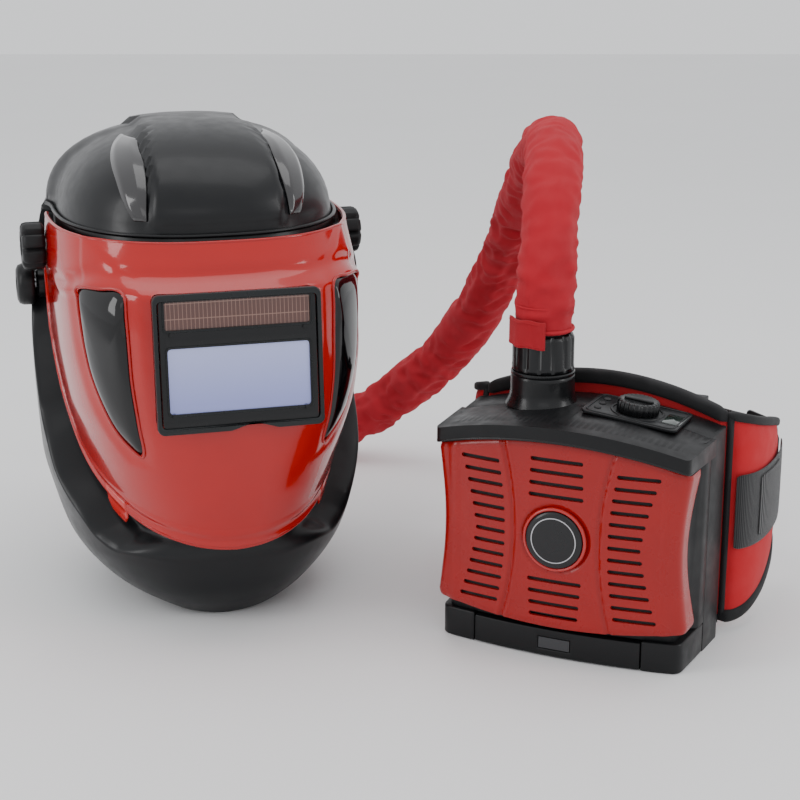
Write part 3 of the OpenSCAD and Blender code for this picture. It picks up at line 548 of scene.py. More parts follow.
def solar_mat():
    """Brown cell strip with thin silver fingers."""
    m = Nodes("solar_strip", (0.10, 0.035, 0.025), 0.2, 0.2, Coat_Weight=0.9, Coat_Roughness=0.04)
    turn = m.add("Mapping")
    turn.inputs["Rotation"].default_value = (0, 0, radians(-16))
    m.link(m.coords(), turn.inputs["Vector"])
    sep = m.add("SeparateXYZ")
    m.link(turn.outputs["Vector"], sep.inputs[0])
    lines = m.math("SINE", m.math("MULTIPLY", sep.outputs[0], 2 * pi / 0.0028))
    rows = m.math("SINE", m.math("MULTIPLY", sep.outputs[2], 2 * pi / 0.0105))
    grid_lines = m.math("MAXIMUM", m.remap(lines, 0, 1, 0.88, 1.0), m.remap(rows, 0, 0.8, 0.97, 1.0))
    n = m.add("ValToRGB")
    n.color_ramp.elements[0].color = (0.085, 0.028, 0.020, 1)
    n.color_ramp.elements[1].color = (0.30, 0.17, 0.13, 1)
    m.link(grid_lines, n.inputs["Fac"])
    m.link(n.outputs["Color"], m.bsdf.inputs["Base Color"])
    m.vary_rough(m.noise(60, 3), 0.15, 0.25)
    return m.mat


def board_mat():
    m = Nodes("board_green", (0.02, 0.12, 0.05), 0.35)
    m.vary_color(m.noise(420, 1), 0.6, 1.5)
    m.bump((m.noise(500, 1), 0.0003, 0.5))
    return m.mat


MAT["window"], MAT["solar"], MAT["board"] = window_mat(), solar_mat(), board_mat()


# ---- Helmet surfaces, in millimetres in the helmet's own frame (front is -Y) ----
VISOR_ROWS = ((66, 86, 151, 2.1), (92, 92, 160, 2.2), (114, 98, 167, 2.3), (143, 104, 173, 2.6), (168, 108,
        176, 2.9),
              (207, 111, 173, 3.1), (256, 111.5, 168, 3.1), (263, 111.5, 158, 2.9), (288, 110, 138,
                      2.6), (300, 109, 132, 2.5))
BIB_ROWS = ((0, 60, 104, 60), (14, 76, 118, 66), (25, 87, 126, 70), (38, 98, 132, 75), (52, 106, 138, 80),
        (74, 113, 146, 90),
            (110, 121, 150, 106), (190, 124, 148, 126), (250, 120, 144, 134), (288, 113, 130, 132))
INNER_ROWS = ((0, 74, 130), (72, 78, 141), (92, 84, 142), (114, 90, 142), (143, 95, 141), (176, 99, 140),
        (207, 101, 139),
              (250, 102, 137), (288, 103, 127))
RIM_ROWS = ((0, 68), (12, 69.5), (35, 77), (55, 91), (72, 114), (81, 143), (88, 176), (91, 215), (94, 240),
        (100, 246))
COLLAR_ROWS = ((0, 68), (12, 69.5), (35, 75), (45, 74), (55, 81), (62, 94), (72, 112), (81, 138), (88, 160),
        (91, 190),
               (94, 214), (100, 240), (104, 262), (108, 330))
EDGE_ROWS = ((0, 0), (20, 4), (39, 14), (63, 25), (85, 38), (100, 54), (115, 84), (135, 132), (155, 172),
        (180, 190))
INLAY_ROWS = ((8, 26, 32), (20, 26.5, 39), (30, 28, 45), (45, 34, 60), (62, 54, 84))
SEAM_Z, CROWN_Z, PIVOT_Z = 288, 357, 266


def wrap180(u):
    u = (u + 180) % 360 - 180
    return abs(u)


def sup(u, a, f, b, n):
    c, s = cos(radians(u)), sin(radians(u))
    return a * spow(s, 2 / n), -(f if c > 0 else b) * spow(c, 2 / n)


def rim_z(u):
    return spline(RIM_ROWS, abs(u))


def visor_pt(u, z, out=0.0):
    """Point on the visor; out lifts it off the surface."""
    a, f, n = (spline(VISOR_ROWS, z, k) for k in (1, 2, 3))
    out += visor_relief(u, z)
    x, y = sup(u, a + out, f + out, 60, n)
    return x, y, z


def visor_relief(u, z):
    """Creases, ledges and beads of the visor, in millimetres."""
    rim = rim_z(u)
    d = z - rim
    lift = 1.1 * bump_at(d, 2.0, 3.2) + 0.8 * bump_at(d, 11.5, 3.0) - 0.7 * bump_at(d, 6.8, 3.4)
    au = abs(u)
    brow = 262.5 - 13 * smooth((au - 42) / 36)
    if au < 84:
        lift += (1.3 * bump_at(z, brow - 1.5, 5.0) - 1.6 * bump_at(z, brow + 5.5,
                6.0)) * smooth((86 - au) / 14)
    facet = 290 - (51 - au) * 1.25
    if z > 258:
        lift += 1.5 * smooth((z - 258) / 8) * (smooth((facet - z) / 7 + 0.5) - 0.5) * (1 if au < 54 else 0)
    lift -= 0.9 * bump_at(u, 2, 7) * smooth((162 - z) / 26) * smooth((z - rim - 12) / 16)
    side = table(((136, 36, 36), (154, 33, 44), (180, 33, 52), (220, 33, 59), (262, 34, 62)), z, 2)
    inner = table(((136, 35), (154, 32), (180, 31), (262, 31)), z)
    if 128 < z < 264:
        edge = max(inner - au, au - side, 139 - z if z < 150 else 0)
        lift -= 1.4 * smooth((7 - edge) / 7) * smooth((264 - z) / 6) * smooth((z - 128) / 8)
    return lift


def shell_pt(u, z, inset=0.0):
    au = wrap180(u)
    w = smooth((z - spline(COLLAR_ROWS, au) + 18) / 16)
    a = mix(spline(BIB_ROWS, z, 1), spline(INNER_ROWS, z, 1), w) - inset
    f = mix(spline(BIB_ROWS, z, 2), spline(INNER_ROWS, z, 2), w) - inset
    x, y = sup(u, a, f, spline(BIB_ROWS, z, 3) - inset, 2.4)
    return x, y, z


def dome_pt(u, v, inset=0.0):
    au = wrap180(u)
    s, h = cos(radians(v)) ** (2 / 2.3), sin(radians(v)) ** (2 / 2.3)
    side = mix(103, 113, smooth((au - 96) / 16))
    x, y = sup(u, (side - inset) * s, (127 - inset) * s, (132 - inset) * s, 2.4)
    return x, y, SEAM_Z + (CROWN_Z - inset - SEAM_Z) * h


def band_edge(y):
    """Half width of the dome's raised centre band."""
    return spline(((-127, 50), (-116, 47), (-95, 45), (-60, 44), (-20, 42), (40, 40), (100, 34), (132, 30)),
            y)


def dome_relief(x, y, z):
    """The raised centre band; the rest of the dome lies a little lower."""
    if z < 292:
        return 0.0
    half = band_edge(y)
    up = smooth((half - abs(x)) / 2.6 + 0.5) * smooth((z - 292) / 12)
    return 4.4 * up - 1.4


def build_helmet():
    us = []
    u = 0.0
    while u < 360:
        us.append(u)
        u += 0.8 if 40 < wrap180(u) < 112 else 2.4
    # the rows follow the collar, so that its step never crosses a face
    columns = []
    for u in us:
        low, collar = spline(EDGE_ROWS, wrap180(u)), spline(COLLAR_ROWS, wrap180(u))
        step_lo = min(max(collar - 19, low + 4), SEAM_Z - 8)
        step_hi = min(max(collar - 1, low + 10), SEAM_Z - 3)
        zs = ([mix(low, step_lo, k / 26) for k in range(26)] + [mix(step_lo, step_hi,
                k / 22) for k in range(22)]
              + [mix(step_hi, SEAM_Z, k / 34) for k in range(35)])
        columns.append([shell_pt(u, z) for z in zs])
    rows = [[column[k] for column in columns] for k in range(len(columns[0]))]
    for v in (3, 7, 12, 17, 22, 28, 34, 40, 46, 52, 58, 64, 69, 74, 78, 82, 85, 87.5):
        row = []
        for u in us:
            x, y, z = dome_pt(u, v)
            lift = dome_relief(x, y, z)
            row.append(dome_pt(u, v, 0.8 - lift))
        rows.append(row)

    def keep(i, j):
        u = us[i]
        u = u - 360 if u > 180 else u
        z = rows[j][i][2]
        return not (j < 82 and abs(u) < 38 and 128 < z < 252)

    o = grid("helmet_shell_skin", rows, MAT["shell"], HELMET, wrap=True, cap=True, keep=keep, sharp=50,
            thick=2.4)
    done(o, "respirator", "shell_black", "helmet_shell")

    # seam lip where the dome meets the front, and the bib's rolled hem
    lip = [dome_pt(u, 1.5, -0.4) for u in range(-104, 105, 4)]
    done(sweep("helmet_seam_lip", lip, lambda i: ring(1.5, 10), MAT["shell"], HELMET), "respirator",
            "shell_black")
    hem = []
    for i in range(96):
        u = i * 3.75
        z = spline(EDGE_ROWS, wrap180(u))
        x, y, _ = shell_pt(u, z, 1.0)
        hem.append((x, y, z + 2.1))
    done(sweep("helmet_hem", hem, lambda i: ring(1.9, 10), MAT["shell"], HELMET, closed=True), "respirator",
            "shell_black")

    # bosses of the headgear pins
    for s, tag in ((-1, "left"), (1, "right")):
        prof = [(4, 0), (11, 0), (11, 16.5), (9.5, 18), (4, 18)]
        done(revolve("pin_boss_" + tag, prof, MAT["shell"], at(HELMET, s * 100, 25, 232, 0, 90 * s)),
                "respirator", "shell_black")

    # smoke-grey inlays either side of the band
    for s, tag in ((-1, "left"), (1, "right")):
        rows = []
        for j in range(15):
            v = mix(8, 62, j / 14)
            row = []
            for i in range(13):
                k = i / 12
                u = mix(spline(INLAY_ROWS, v, 1), spline(INLAY_ROWS, v, 2), k)
                edge = min(1, 4 * min(k, 1 - k)) * min(1, 4 * min(j, 14 - j) / 14 * 1.4)
                row.append(dome_pt(s * u, v, 0.9 - 1.9 * smooth(edge)))
            rows.append(row if s > 0 else row[::-1])
        o = grid("dome_inlay_" + tag, rows, MAT["insert"], HELMET, thick=1.2, sub=1, sharp=60)
        done(o, "respirator", "insert_smoke", *(("dome_inserts",) if s > 0 else ()))


def build_visor():
    us = [-100 + 200 * i / 160 for i in range(161)]
    rows = []
    for k in range(91):
        t = k / 90
        rows.append([visor_pt(u, mix(rim_z(u), SEAM_Z, t)) for u in us])
    o = grid("visor_skin", rows, MAT["visor"], HELMET, thick=2.8, sharp=50)

    # openings: one for the filter, one at each side
    box = prism("cut_filter", rounded(114, 92, 5), -40, 40, MAT["visor"], at(HELMET, 0, -160, 213, 90 - 5))
    cut(o, box)
    for s in (-1, 1):
        cut(o, side_cutter(s, 0.0, 24, -14))
    done(o, "visor", "visor_red", "visor_shell")

    # rolled rim along the lower edge
    rim = [visor_pt(u, rim_z(u) + 0.8, -1.3) for u in [-99 + 198 * i / 120 for i in range(121)]]
    done(sweep("visor_rim", rim, lambda i: ring(1.7, 10), MAT["visor_rim"], HELMET), "visor", "visor_red")
    top = [visor_pt(u, SEAM_Z - 0.4, -1.2) for u in [-98 + 196 * i / 80 for i in range(81)]]
    done(sweep("visor_brow_edge", top, lambda i: ring(1.5, 10), MAT["visor_rim"], HELMET), "visor",
            "visor_red")

    # thumb tabs under the rim
    for s, tag in ((-1, "left"), (1, "right")):
        rows = []
        for j in range(9):
            d = mix(7, -13, j / 8)
            half = 5.5 - 2.0 * smooth((-d - 6) / 7)
            row = []
            for i in range(9):
                u = s * (56 + half * (i / 4 - 1))
                row.append(visor_pt(u, rim_z(u) + d, 0.9 + 1.2 * smooth(-d / 8)))
            rows.append(row if s > 0 else row[::-1])
        o = grid("lift_tab_" + tag, rows[::-1], MAT["tab_red"], HELMET, thick=2.2, sub=1, sharp=60)
        done(o, "visor", "tab_red", *(("lift_tabs",) if s > 0 else ()))


SIDE_OUTLINE = ((33.5, 258), (45, 258), (57.5, 255.5), (58.5, 245), (57.6, 232), (56.5, 220), (53.5, 200),
        (49.5, 181),
                (45.6, 166), (41.6, 154), (37.5, 146), (34.8, 142.5), (33.0, 146), (32.2, 158), (31.8,
                        180), (31.8, 210), (32.3, 240))


def side_outline(s, grow=0.0, n=5):
    """Smooth outline of a side opening as (u, z), grown outwards by about grow millimetres."""
    pts = cat([(s * u, z, 0) for u, z in SIDE_OUTLINE], n, closed=True)
    cu, cz = s * 43, 205
    out = []
    for p in pts:
        du, dz = p.x - cu, p.y - cz
        out.append((cu + du * (1 + grow / 16), cz + dz * (1 + grow / 62)))
    return out


def side_cutter(s, grow, above, below):
    ol = side_outline(s, grow)
    rows = [[visor_pt(u, z, below) for u, z in ol], [visor_pt(u, z, above) for u, z in ol]]
    verts = rows[0] + rows[1]
    n = len(ol)
    faces = [tuple(range(n)), tuple(range(2 * n - 1, n - 1, -1))]
    faces += [(i, n + i, n + (i + 1) % n, (i + 1) % n) for i in range(n)]
    return fix_normals(make("cut_side", verts, faces, MAT["visor"], HELMET))


def build_side_windows():
    for s, tag in ((-1, "left"), (1, "right")):
        ol = side_outline(s, 0.6)
        cu, cz = s * 43, 200
        rings = []
        for k in (1.0, 0.93, 0.8, 0.6, 0.35, 0.12):
            lift = 0.4 + 3.2 * (1 - k * k) ** 0.6 - (2.2 if k == 1.0 else 0.6 if k == 0.93 else 0)
            rings.append([visor_pt(mix(cu, u, k), mix(cz, z, k), lift) for u, z in ol])
        n = len(ol)
        verts = [p for r in rings for p in r]
        faces = []
        for j in range(len(rings) - 1):
            for i in range(n):
                a, b = j * n + i, j * n + (i + 1) % n
                faces.append((a, b, b + n, a + n))
        faces.append(tuple((len(rings) - 1) * n + i for i in range(n)))
        o = fix_normals(make("side_lens_" + tag, verts, faces, MAT["side_lens"], HELMET, None, 60))
        mod(o, "SOLIDIFY", thickness=1.6 * MM, offset=-1 if s < 0 else -1)
        bake(o, 60)
        done(o, "visor", "side_lens", "side_window_" + tag)
        # thin raised bead round the opening
        bead = [visor_pt(u, z, 0.2) for u, z in side_outline(s, 1.3)]
        done(sweep("side_bead_" + tag, bead, lambda i: ring(1.1, 8), MAT["visor_rim"], HELMET, closed=True),
                "visor", "visor_red")


def build_filter_frame():
    f = at(HELMET, 0, -173, 213, -5)
    up = f @ Matrix.Rotation(radians(90), 4, "X")      # x right, y up, z towards the viewer
    rim = prism("filter_frame_rim", rounded(116, 96, 5), 0, 6.3, MAT["frame"], up)
    cut(rim, prism("cut_rim", rounded(110, 87, 3), -1, 9, MAT["frame"], up))
    # the lower edge dips in two lobes
    wave = [(mix(-60, 60, i / 48), -48.4 + 4.2 * bump_at(mix(-60, 60, i / 48), 9, 20)) for i in range(49)]
    cut(rim, prism("cut_wave", [(-60, -70)] + [(60, -70)] + wave[::-1], -2, 9, MAT["frame"], up))
    bevel(rim, 0.9, 3)
    done(rim, "visor", "frame_grey", "filter_frame")
    face = prism("filter_face", rounded(108, 88, 3), 0.2, 4.9, MAT["black_gloss"], up)
    cut(face, prism("cut_view", rounded(98, 45, 2.5, cx=0, cy=-11.5), -2, 9, MAT["frame"], up))
    cut(face, prism("cut_solar", rounded(100, 19, 1.5, cx=0, cy=33.2), -2, 9, MAT["frame"], up))
    bevel(face, 0.5, 2)
    done(face, "visor", "frame_grey")
    # thin inner line round the window
    for tag, w, h, cy, r in (("view", 100.5, 47.5, -11.5, 3), ("solar", 102.5, 21.5, 33.2, 2)):
        line = [(x, y, 4.9) for x, y in rounded(w, h, r, cx=0, cy=cy)]
        done(sweep("filter_line_" + tag, line, lambda i: ring(0.45, 6), MAT["frame"], up, closed=True),
                "visor", "frame_grey")
    done(prism("filter_window", rounded(99, 46, 2.5, cx=0, cy=-11.5), 1.2, 3.6, MAT["window"], up), "visor",
            "filter_glass", "view_window")
    for name, mat in (("solar_strip", "solar"), ("filter_cartridge", "inner"), ("frame_screws",
            "black_gloss")):
        finish_node(name, mat)


def build_knobs():
    def lobed(r, a, z):
        return r - (2.6 * max(0.0, cos(8 * a)) ** 3 if r > 14 else 0)

    for s, tag in ((-1, "left"), (1, "right")):
        prof = [(5.1, 0), (15.5, 0), (17.2, 1.2), (17.8, 3.0), (17.8, 13.0), (17.0, 15.6), (15.0, 16.8), (9,
                17.0), (8.2, 16.0),
                (0.01, 15.6), (0.01, 8.2), (5.1, 8.2)]
        o = revolve("visor_knob_" + tag + "_grip", prof, MAT["black"], at(HELMET, s * 112.2, 0, PIVOT_Z, 0,
                90 * s), 128, lobed, 50)
        done(o, "visor_knob_" + tag, "black_plastic", "visor_knob_" + tag)
        prof = [(4.1, 0), (14.0, 0), (15.7, 1.0), (16, 2.6), (15.8, 8.5), (14.6, 11.4), (12.0, 12.7), (6.5,
                13.0), (5.8, 12.2),
                (0.01, 12.0), (0.01, 6.2), (4.1, 6.2)]
        o = revolve("headgear_knob_" + tag + "_grip", prof, MAT["black"], at(HELMET, s * 119.5, 25, 232, 0,
                90 * s), 64, None, 50)
        done(o, "headgear_knob_" + tag, "black_plastic", "headgear_knob_" + tag)


def build_inside():
    # neck skirt: gathered cloth from the shell's hem to the neck
    rows, n = [], 180
    for j in range(21):
        t = 1 - j / 20
        row = []
        for i in range(n):
            u = 360 * i / n
            z = spline(EDGE_ROWS, wrap180(u)) + 10
            x, y, _ = shell_pt(u, z, 5)
            k = mix(1, 0.62, t)
            fold = 1.5 * t * (0.6 + 0.4 * sin(radians(u * 3))) * sin(radians(u * 24 + 14 * sin(radians(u * 5)) * 2))
            r = math.hypot(x * k, y * k) or 1
            zz = mix(z, 1.6, smooth(t)) + 1.4 + (0.5 * fold if z > 30 else 0)
            row.append((x * k * (1 + fold / r), y * k * (1 + fold / r) + 12 * t, max(1.3, zz)))
        rows.append(row)
    skirt = grid("neck_skirt", rows, MAT["black_fabric"], HELMET, wrap=True, thick=1.2, sharp=80)
    done(skirt, "respirator", "black_fabric", "neck_seal")
    hem = [rows[0][i] for i in range(0, n, 2)]
    hem = [(p[0], p[1], max(2.4, p[2] + 0.3)) for p in hem]
    cord = sweep("neck_skirt_elastic", hem, lambda i: ring(1.6, 8), MAT["binding"], HELMET, closed=True)
    done(cord, "respirator", "black_fabric")

    # sweat pad with sewn bulges
    rows = []
    for j in range(73):
        u = -63.5 + 127 * j / 72
        puff = 1.4 * abs(sin(radians((u + 63.5) / 127 * 180 * 8))) ** 0.6 + 0.2
        end = smooth(min(j, 72 - j) / 5)
        row = []
        for i in range(20):
            a = 2 * pi * i / 20
            dx, dz = cos(a), sin(a)
            half_t, half_h = (1.2 + 0.55 * puff) * (0.4 + 0.6 * end), 17.5 * (0.8 + 0.2 * end)
            q = -3.3 - 2.5 + half_t * spow(dx, 0.7)
            x, y = (82 + q) * sin(radians(u)), -(100 + q) * cos(radians(u)) + 14
            row.append((x, y, 232 + half_h * spow(dz, 0.5)))
        rows.append(row)
    rows = [[r[i] for r in rows] for i in range(20)]
    rows.append(rows[0])
    pad = fix_normals(grid("sweat_pad", rows, MAT["foam"], HELMET, sharp=80))
    close_ends(pad)
    done(pad, "headgear", "sweat_foam", "sweatband")

    for name, mat in (("clear_lens", "clear"), ("lens_seal", "rubber"), ("air_duct", "inner"),
            ("duct_outlet", "inner"),
                      ("helmet_connector", "black"), ("visor_pivot_pins", "steel"), ("headgear_pins",
                              "steel"), ("headband", "strap"),
                      ("crown_strap", "strap"), ("ratchet_housing", "black"), ("ratchet_knob", "black")):
        finish_node(name, mat)


def close_ends(o):
    bm = bmesh.new()
    bm.from_mesh(o.data)
    bmesh.ops.remove_doubles(bm, verts=bm.verts, dist=1e-6)
    bmesh.ops.holes_fill(bm, edges=[e for e in bm.edges if e.is_boundary], sides=0)
    bmesh.ops.recalc_face_normals(bm, faces=bm.faces)
    bm.to_mesh(o.data)
    bm.free()


def finish_node(name, mat):
    """Gives a carried-over CAD node its material."""
    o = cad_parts[name]
    for s in o.material_slots:
        s.material = MAT[mat]
    if not o.material_slots:
        o.data.materials.append(MAT[mat])


# ---- Breathing hose: its route, from the outlet over the arch and down to the helmet's elbow ----
def mm_point(m, x, y, z):
    return tuple((m @ (Vector((x, y, z)) * MM)) / MM)


HOSE_START = mm_point(BLOWER, -35, -29, 224)
HOSE_END = mm_point(HELMET, 0, 179, 185.77)
ROUTE = (HOSE_START, (105, -93, 254), (106, -90, 281), (108, -78, 305), (111, -56, 324), (114, -25, 335),
        (116, 13, 338),
         (116, 52, 333), (115, 92, 320), (112, 132, 300), (108, 170, 271), (100, 204, 236), (89, 231,
                 197), (73, 252, 157),
         (51, 267, 120), (24, 279, 89), (-6, 290, 62), (-40, 298, 40), (-76, 301, 27), (-112, 297,
                 23), (-145, 283, 32),
         (-172, 263, 53), (-191, 239, 83), (-201, 218, 119), (-205, 204, 155), HOSE_END)


def resample(points, step):
    P = [Vector(p) for p in points]
    s = [0.0]
    for a, b in zip(P, P[1:]):
        s.append(s[-1] + (b - a).length)
    n = max(2, round(s[-1] / step))
    out, j = [], 0
    for k in range(n + 1):
        d = s[-1] * k / n
        while j < len(P) - 2 and s[j + 1] < d:
            j += 1
        out.append(P[j].lerp(P[j + 1], (d - s[j]) / (s[j + 1] - s[j])))
    return out


def build_hose():
    line = cat(ROUTE, 16)
    core = resample(line, 1.5)

    def rib(i):
        return ring(15.9 - 1.5 * (0.5 - 0.5 * cos(2 * pi * i * 1.5 / 6.0)), 20)

    hose = sweep("breathing_hose_tube", core, rib, MAT["hose"])
    done(hose, "respirator", "hose_rubber", "breathing_hose")

    # gathered cloth cover: quiet by the blower, deep cross folds further on, more on the inner side of the arch
    a0, a1 = Vector(ROUTE[0]), Vector(ROUTE[-1])
    first = a0 - Vector((0, 0, 2.2))
    last = a1 - (Vector(ROUTE[-1]) - Vector(ROUTE[-2])).normalized() * -1.6
    cl = resample([first] + line[1:-1] + [last], 1.9)
    total = len(cl)

    def folds(i):
        s = i * 1.9
        tight = 0.75 + 0.75 * smooth((s - 150) / 120) + 0.6 * smooth((s - 300) / 120)
        ends = smooth(min(i, total - 1 - i) / 9)
        swell = 0.9 * sin(s / 19.0 + 1.2 * sin(s / 47)) * tight
        out = []
        for k in range(56):
            a = 2 * pi * k / 56
            inner = 0.5 + 0.5 * sin(a + 0.6)
            p = Vector((s / 13.0 + 0.55 * sin(2 * a), 1.25 * cos(a), 1.25 * sin(a)))
            q = Vector((s / 31.0 + 9, 0.9 * cos(a), 0.9 * sin(a)))
            crease = 1 - 2.6 * abs(noise.noise(p))
            crease2 = 1 - 2.2 * abs(noise.noise(q))
            lump = noise.noise(Vector((s / 24.0, 2.2 * cos(a) + 4, 2.2 * sin(a))))
            r = 19.6 + ends * tight * (1.25 * crease * (0.4 + 0.6 * inner) + 0.8 * crease2 + 1.1 * lump) + ends * swell * 0.7
            r += ends * 1.9 * noise.noise(Vector((s / 7.5, 1.2 * cos(a) + 7, 1.2 * sin(a))))
            r = 17.6 + 5.6 * smooth((r - 16.6) / 7.2)
            out.append((r * cos(a), r * sin(a)))
        return out

    cover = sweep("hose_cover_cloth", cl, folds, MAT["fabric_red"], uv=True, cap=False, sharp=80)
    mod(cover, "SOLIDIFY", thickness=1.0 * MM, offset=-1)
    bake(cover, 80)
    done(cover, "respirator", "cover_fabric", "hose_cover")

    # sewn hem and its stitches at the blower end
    c = Vector(HOSE_START)
    for name, z, r, thick in (("hose_hem_lower", 223.6, 20.6, 1.5), ("hose_hem_upper", 240.5, 20.7, 0.7)):
        loop = [(c.x + r * cos(2 * pi * k / 48), c.y + r * sin(2 * pi * k / 48), z) for k in range(48)]
        done(sweep(name, loop, lambda i, t=thick: ring(t, 8), MAT["fabric_red"], closed=True), "respirator",
                "cover_fabric")

    # hook-and-loop tab over the hem and the top of the nut
    rows = []
    for j in range(9):
        z = mix(212.6, 232.6, j / 8)
        row = []
        for i in range(31):
            a = radians(-176 + 84 * i / 30)
            wave = 0.35 * sin(i * 0.7) * (1 - j / 8)
            lift = 23.2 + wave + 0.7 * smooth((i - 22) / 8)
            row.append((c.x + lift * cos(a), c.y + lift * sin(a), z + 0.5 * sin(i * 0.4)))
        rows.append(row)
    tab = grid("hose_tab_strip", rows, MAT["tab_fabric"], thick=-1.6, sharp=60)
    bevel(tab, 0.5, 2, 50)
    done(tab, "respirator", "tab_fabric", "hose_tab")
    for z in (214.6, 230.6):
        seam = [(c.x + 24.95 * cos(radians(-174 + 80 * i / 40)),
                c.y + 24.95 * sin(radians(-174 + 80 * i / 40)), z + 0.5 * sin(i * 0.3))
                for i in range(41)]
        done(sweep("hose_tab_stitch_%d" % int(z), seam, lambda i: ring(0.3 + 0.15 * (i % 2), 6),
                MAT["tab_fabric"]), "respirator", "tab_fabric")

    path = [tuple(p * MM) for p in resample(line, 10)]

    # coupling nuts with scalloped grips, and the cuffs inside them
    def grip(r, a, z):
        return r - (1.5 * max(0.0, cos(14 * a)) ** 2 * smooth((z - 2.5) / 2.5) if r > 20 else 0)

    spot = at(BLOWER, -35, -29, 193.3)
    prof = [(19.06, 0), (21.4, 0), (22.25, 0.9), (22.25, 3.2), (22.0, 4.2), (22.0, 23.5), (21.2, 25.6),
            (19.6, 26.8), (19.06, 26.9)]
    done(revolve("blower_nut_grip", prof, MAT["black_gloss"], spot, 168, grip, 45), "blower_coupling",
            "black_plastic", "blower_nut")
    spot = at(HELMET, 0, 150, 236, -150) @ Matrix.Translation((0, 0, 28.3 * MM))
    prof = [(16.05, 0), (21.4, 0), (22.25, 0.9), (22.25, 3.2), (22.0, 4.2), (22.0, 23.5), (21.2, 25.6),
            (19.6, 26.8), (16.05, 26.9)]
    done(revolve("helmet_nut_grip", prof, MAT["black_gloss"], spot, 168, grip, 45), "helmet_coupling",
            "black_plastic", "helmet_nut")
    finish_node("blower_cuff", "hose")
    finish_node("helmet_cuff", "hose")


# ---- Blower, in millimetres in its own frame: back at y = 0, front towards -Y ----
W, H_MID, DROP, DEPTH, BULGE, TAPER = 188, 171, 15, 84, 9, 5
TOP_R = (W * W / 4 + DROP * DROP) / (2 * DROP)
FRONT_HALF = W / 2 - TAPER


def top_z(x):
    return H_MID - TOP_R + math.sqrt(TOP_R * TOP_R - x * x)


def half_w(y):
    return W / 2 + TAPER * y / DEPTH


def front_y(x, half=FRONT_HALF):
    r = (half * half + BULGE * BULGE) / (2 * BULGE)
    return -DEPTH - BULGE + r - math.sqrt(max(0.0, r * r - min(abs(x), half) ** 2))


def corner(a, b, c, r, n=5):
    """Rounds corner b between a and c."""
    a, b, c = Vector(a), Vector(b), Vector(c)
    u, v = (a - b).normalized(), (c - b).normalized()
    t = min(r, (a - b).length * 0.49, (c - b).length * 0.49)
    out = []
    for k in range(n + 1):
        s = k / n
        p = (b + u * t) * (1 - s) ** 2 + b * 2 * s * (1 - s) + (b + v * t) * s * s
        out.append((p.x, p.y))
    return out


def plan(grow, push, y_back, r=9, waist=0.0, y_waist=-46):
    """Plan outline from the back round the bulged front."""
    fh = FRONT_HALF + grow
    front = []
    for k in range(33):
        x = mix(-fh + r * 0.9, fh - r * 0.9, k / 32)
        front.append((x, front_y(x * FRONT_HALF / fh) + push))
    right = (fh - waist, front_y(FRONT_HALF) + push)
    left = (-fh + waist, front_y(FRONT_HALF) + push)
    back_r = [(half_w(y_back) + grow, y_back)]
    back_l = [(-half_w(y_back) - grow, y_back)]
    if waist:
        back_r = [(half_w(y_waist) + grow - waist, y_waist - 8), (half_w(y_waist) + grow, y_waist)] + back_r
        back_l = back_l + [(-half_w(y_waist) - grow, y_waist), (-half_w(y_waist) - grow + waist,
                y_waist - 8)]
    pts = corner(back_l[-1], left, front[0], r) + front + corner(front[-1], right, back_r[0],
            r) + back_r + back_l
    return pts


def arch_outline(z_lo, inset=0.0, r=9, half=W / 2 + 4, below=None):
    """Outline in (x, z): flat foot, straight sides, arched top; below gives an arched foot that far under the top."""
    hw = half - inset
    top = [(mix(hw - r, -hw + r, k / 40)) for k in range(41)]
    top = [(x, top_z(x * (W / 2) / (W / 2 + 4)) - inset) for x in top]
    side_z = top[0][1] - r
    if below is None:
        return [(-hw, z_lo), (hw, z_lo), (hw, side_z)] + corner((hw, side_z), (hw, top[0][1] + 0.5), top[0],
                r) + top + \
            corner(top[-1], (-hw, top[0][1] + 0.5), (-hw, side_z), r) + [(-hw, side_z)]
    foot = [(mix(-hw, hw, k / 40)) for k in range(41)]
    foot = [(x, top_z(x * (W / 2) / (W / 2 + 4)) - below) for x in foot]
    return foot + corner(foot[-1], (hw, top[0][1] + 0.5), top[0], r) + top + corner(top[-1], (-hw,
            top[0][1] + 0.5), foot[0], r)


def upright_prism(name, outline, y0, y1, mat):
    """Block over an outline of (x, z), between two depths."""
    n = len(outline)
    verts = [(x, y0, z) for x, z in outline] + [(x, y1, z) for x, z in outline]
    faces = [tuple(range(n)), tuple(range(2 * n - 1, n - 1, -1))]
    faces += [(i, n + i, n + (i + 1) % n, (i + 1) % n) for i in range(n)]
    return fix_normals(make(name, verts, faces, mat, BLOWER))


def unwind(outline):
    area = sum(a[0] * b[1] - b[0] * a[1] for a, b in zip(outline, outline[1:] + outline[:1]))
    return outline if area > 0 else outline[::-1]


def clean(outline):
    out = []
    for p in outline:
        if not out or (Vector(p) - Vector(out[-1])).length > 0.05:
            out.append(p)
    if (Vector(out[0]) - Vector(out[-1])).length < 0.05:
        out.pop()
    return out


def both(name, plan_pts, outline, mat, z0=-1, z1=190, y0=-120, y1=10):
    """Where a plan and an upright outline meet."""
    a = prism(name, unwind(clean(plan_pts)), z0, z1, mat, BLOWER)
    b = upright_prism("tool", clean(outline), y0, y1, mat)
    return cut(a, b, op="INTERSECT")


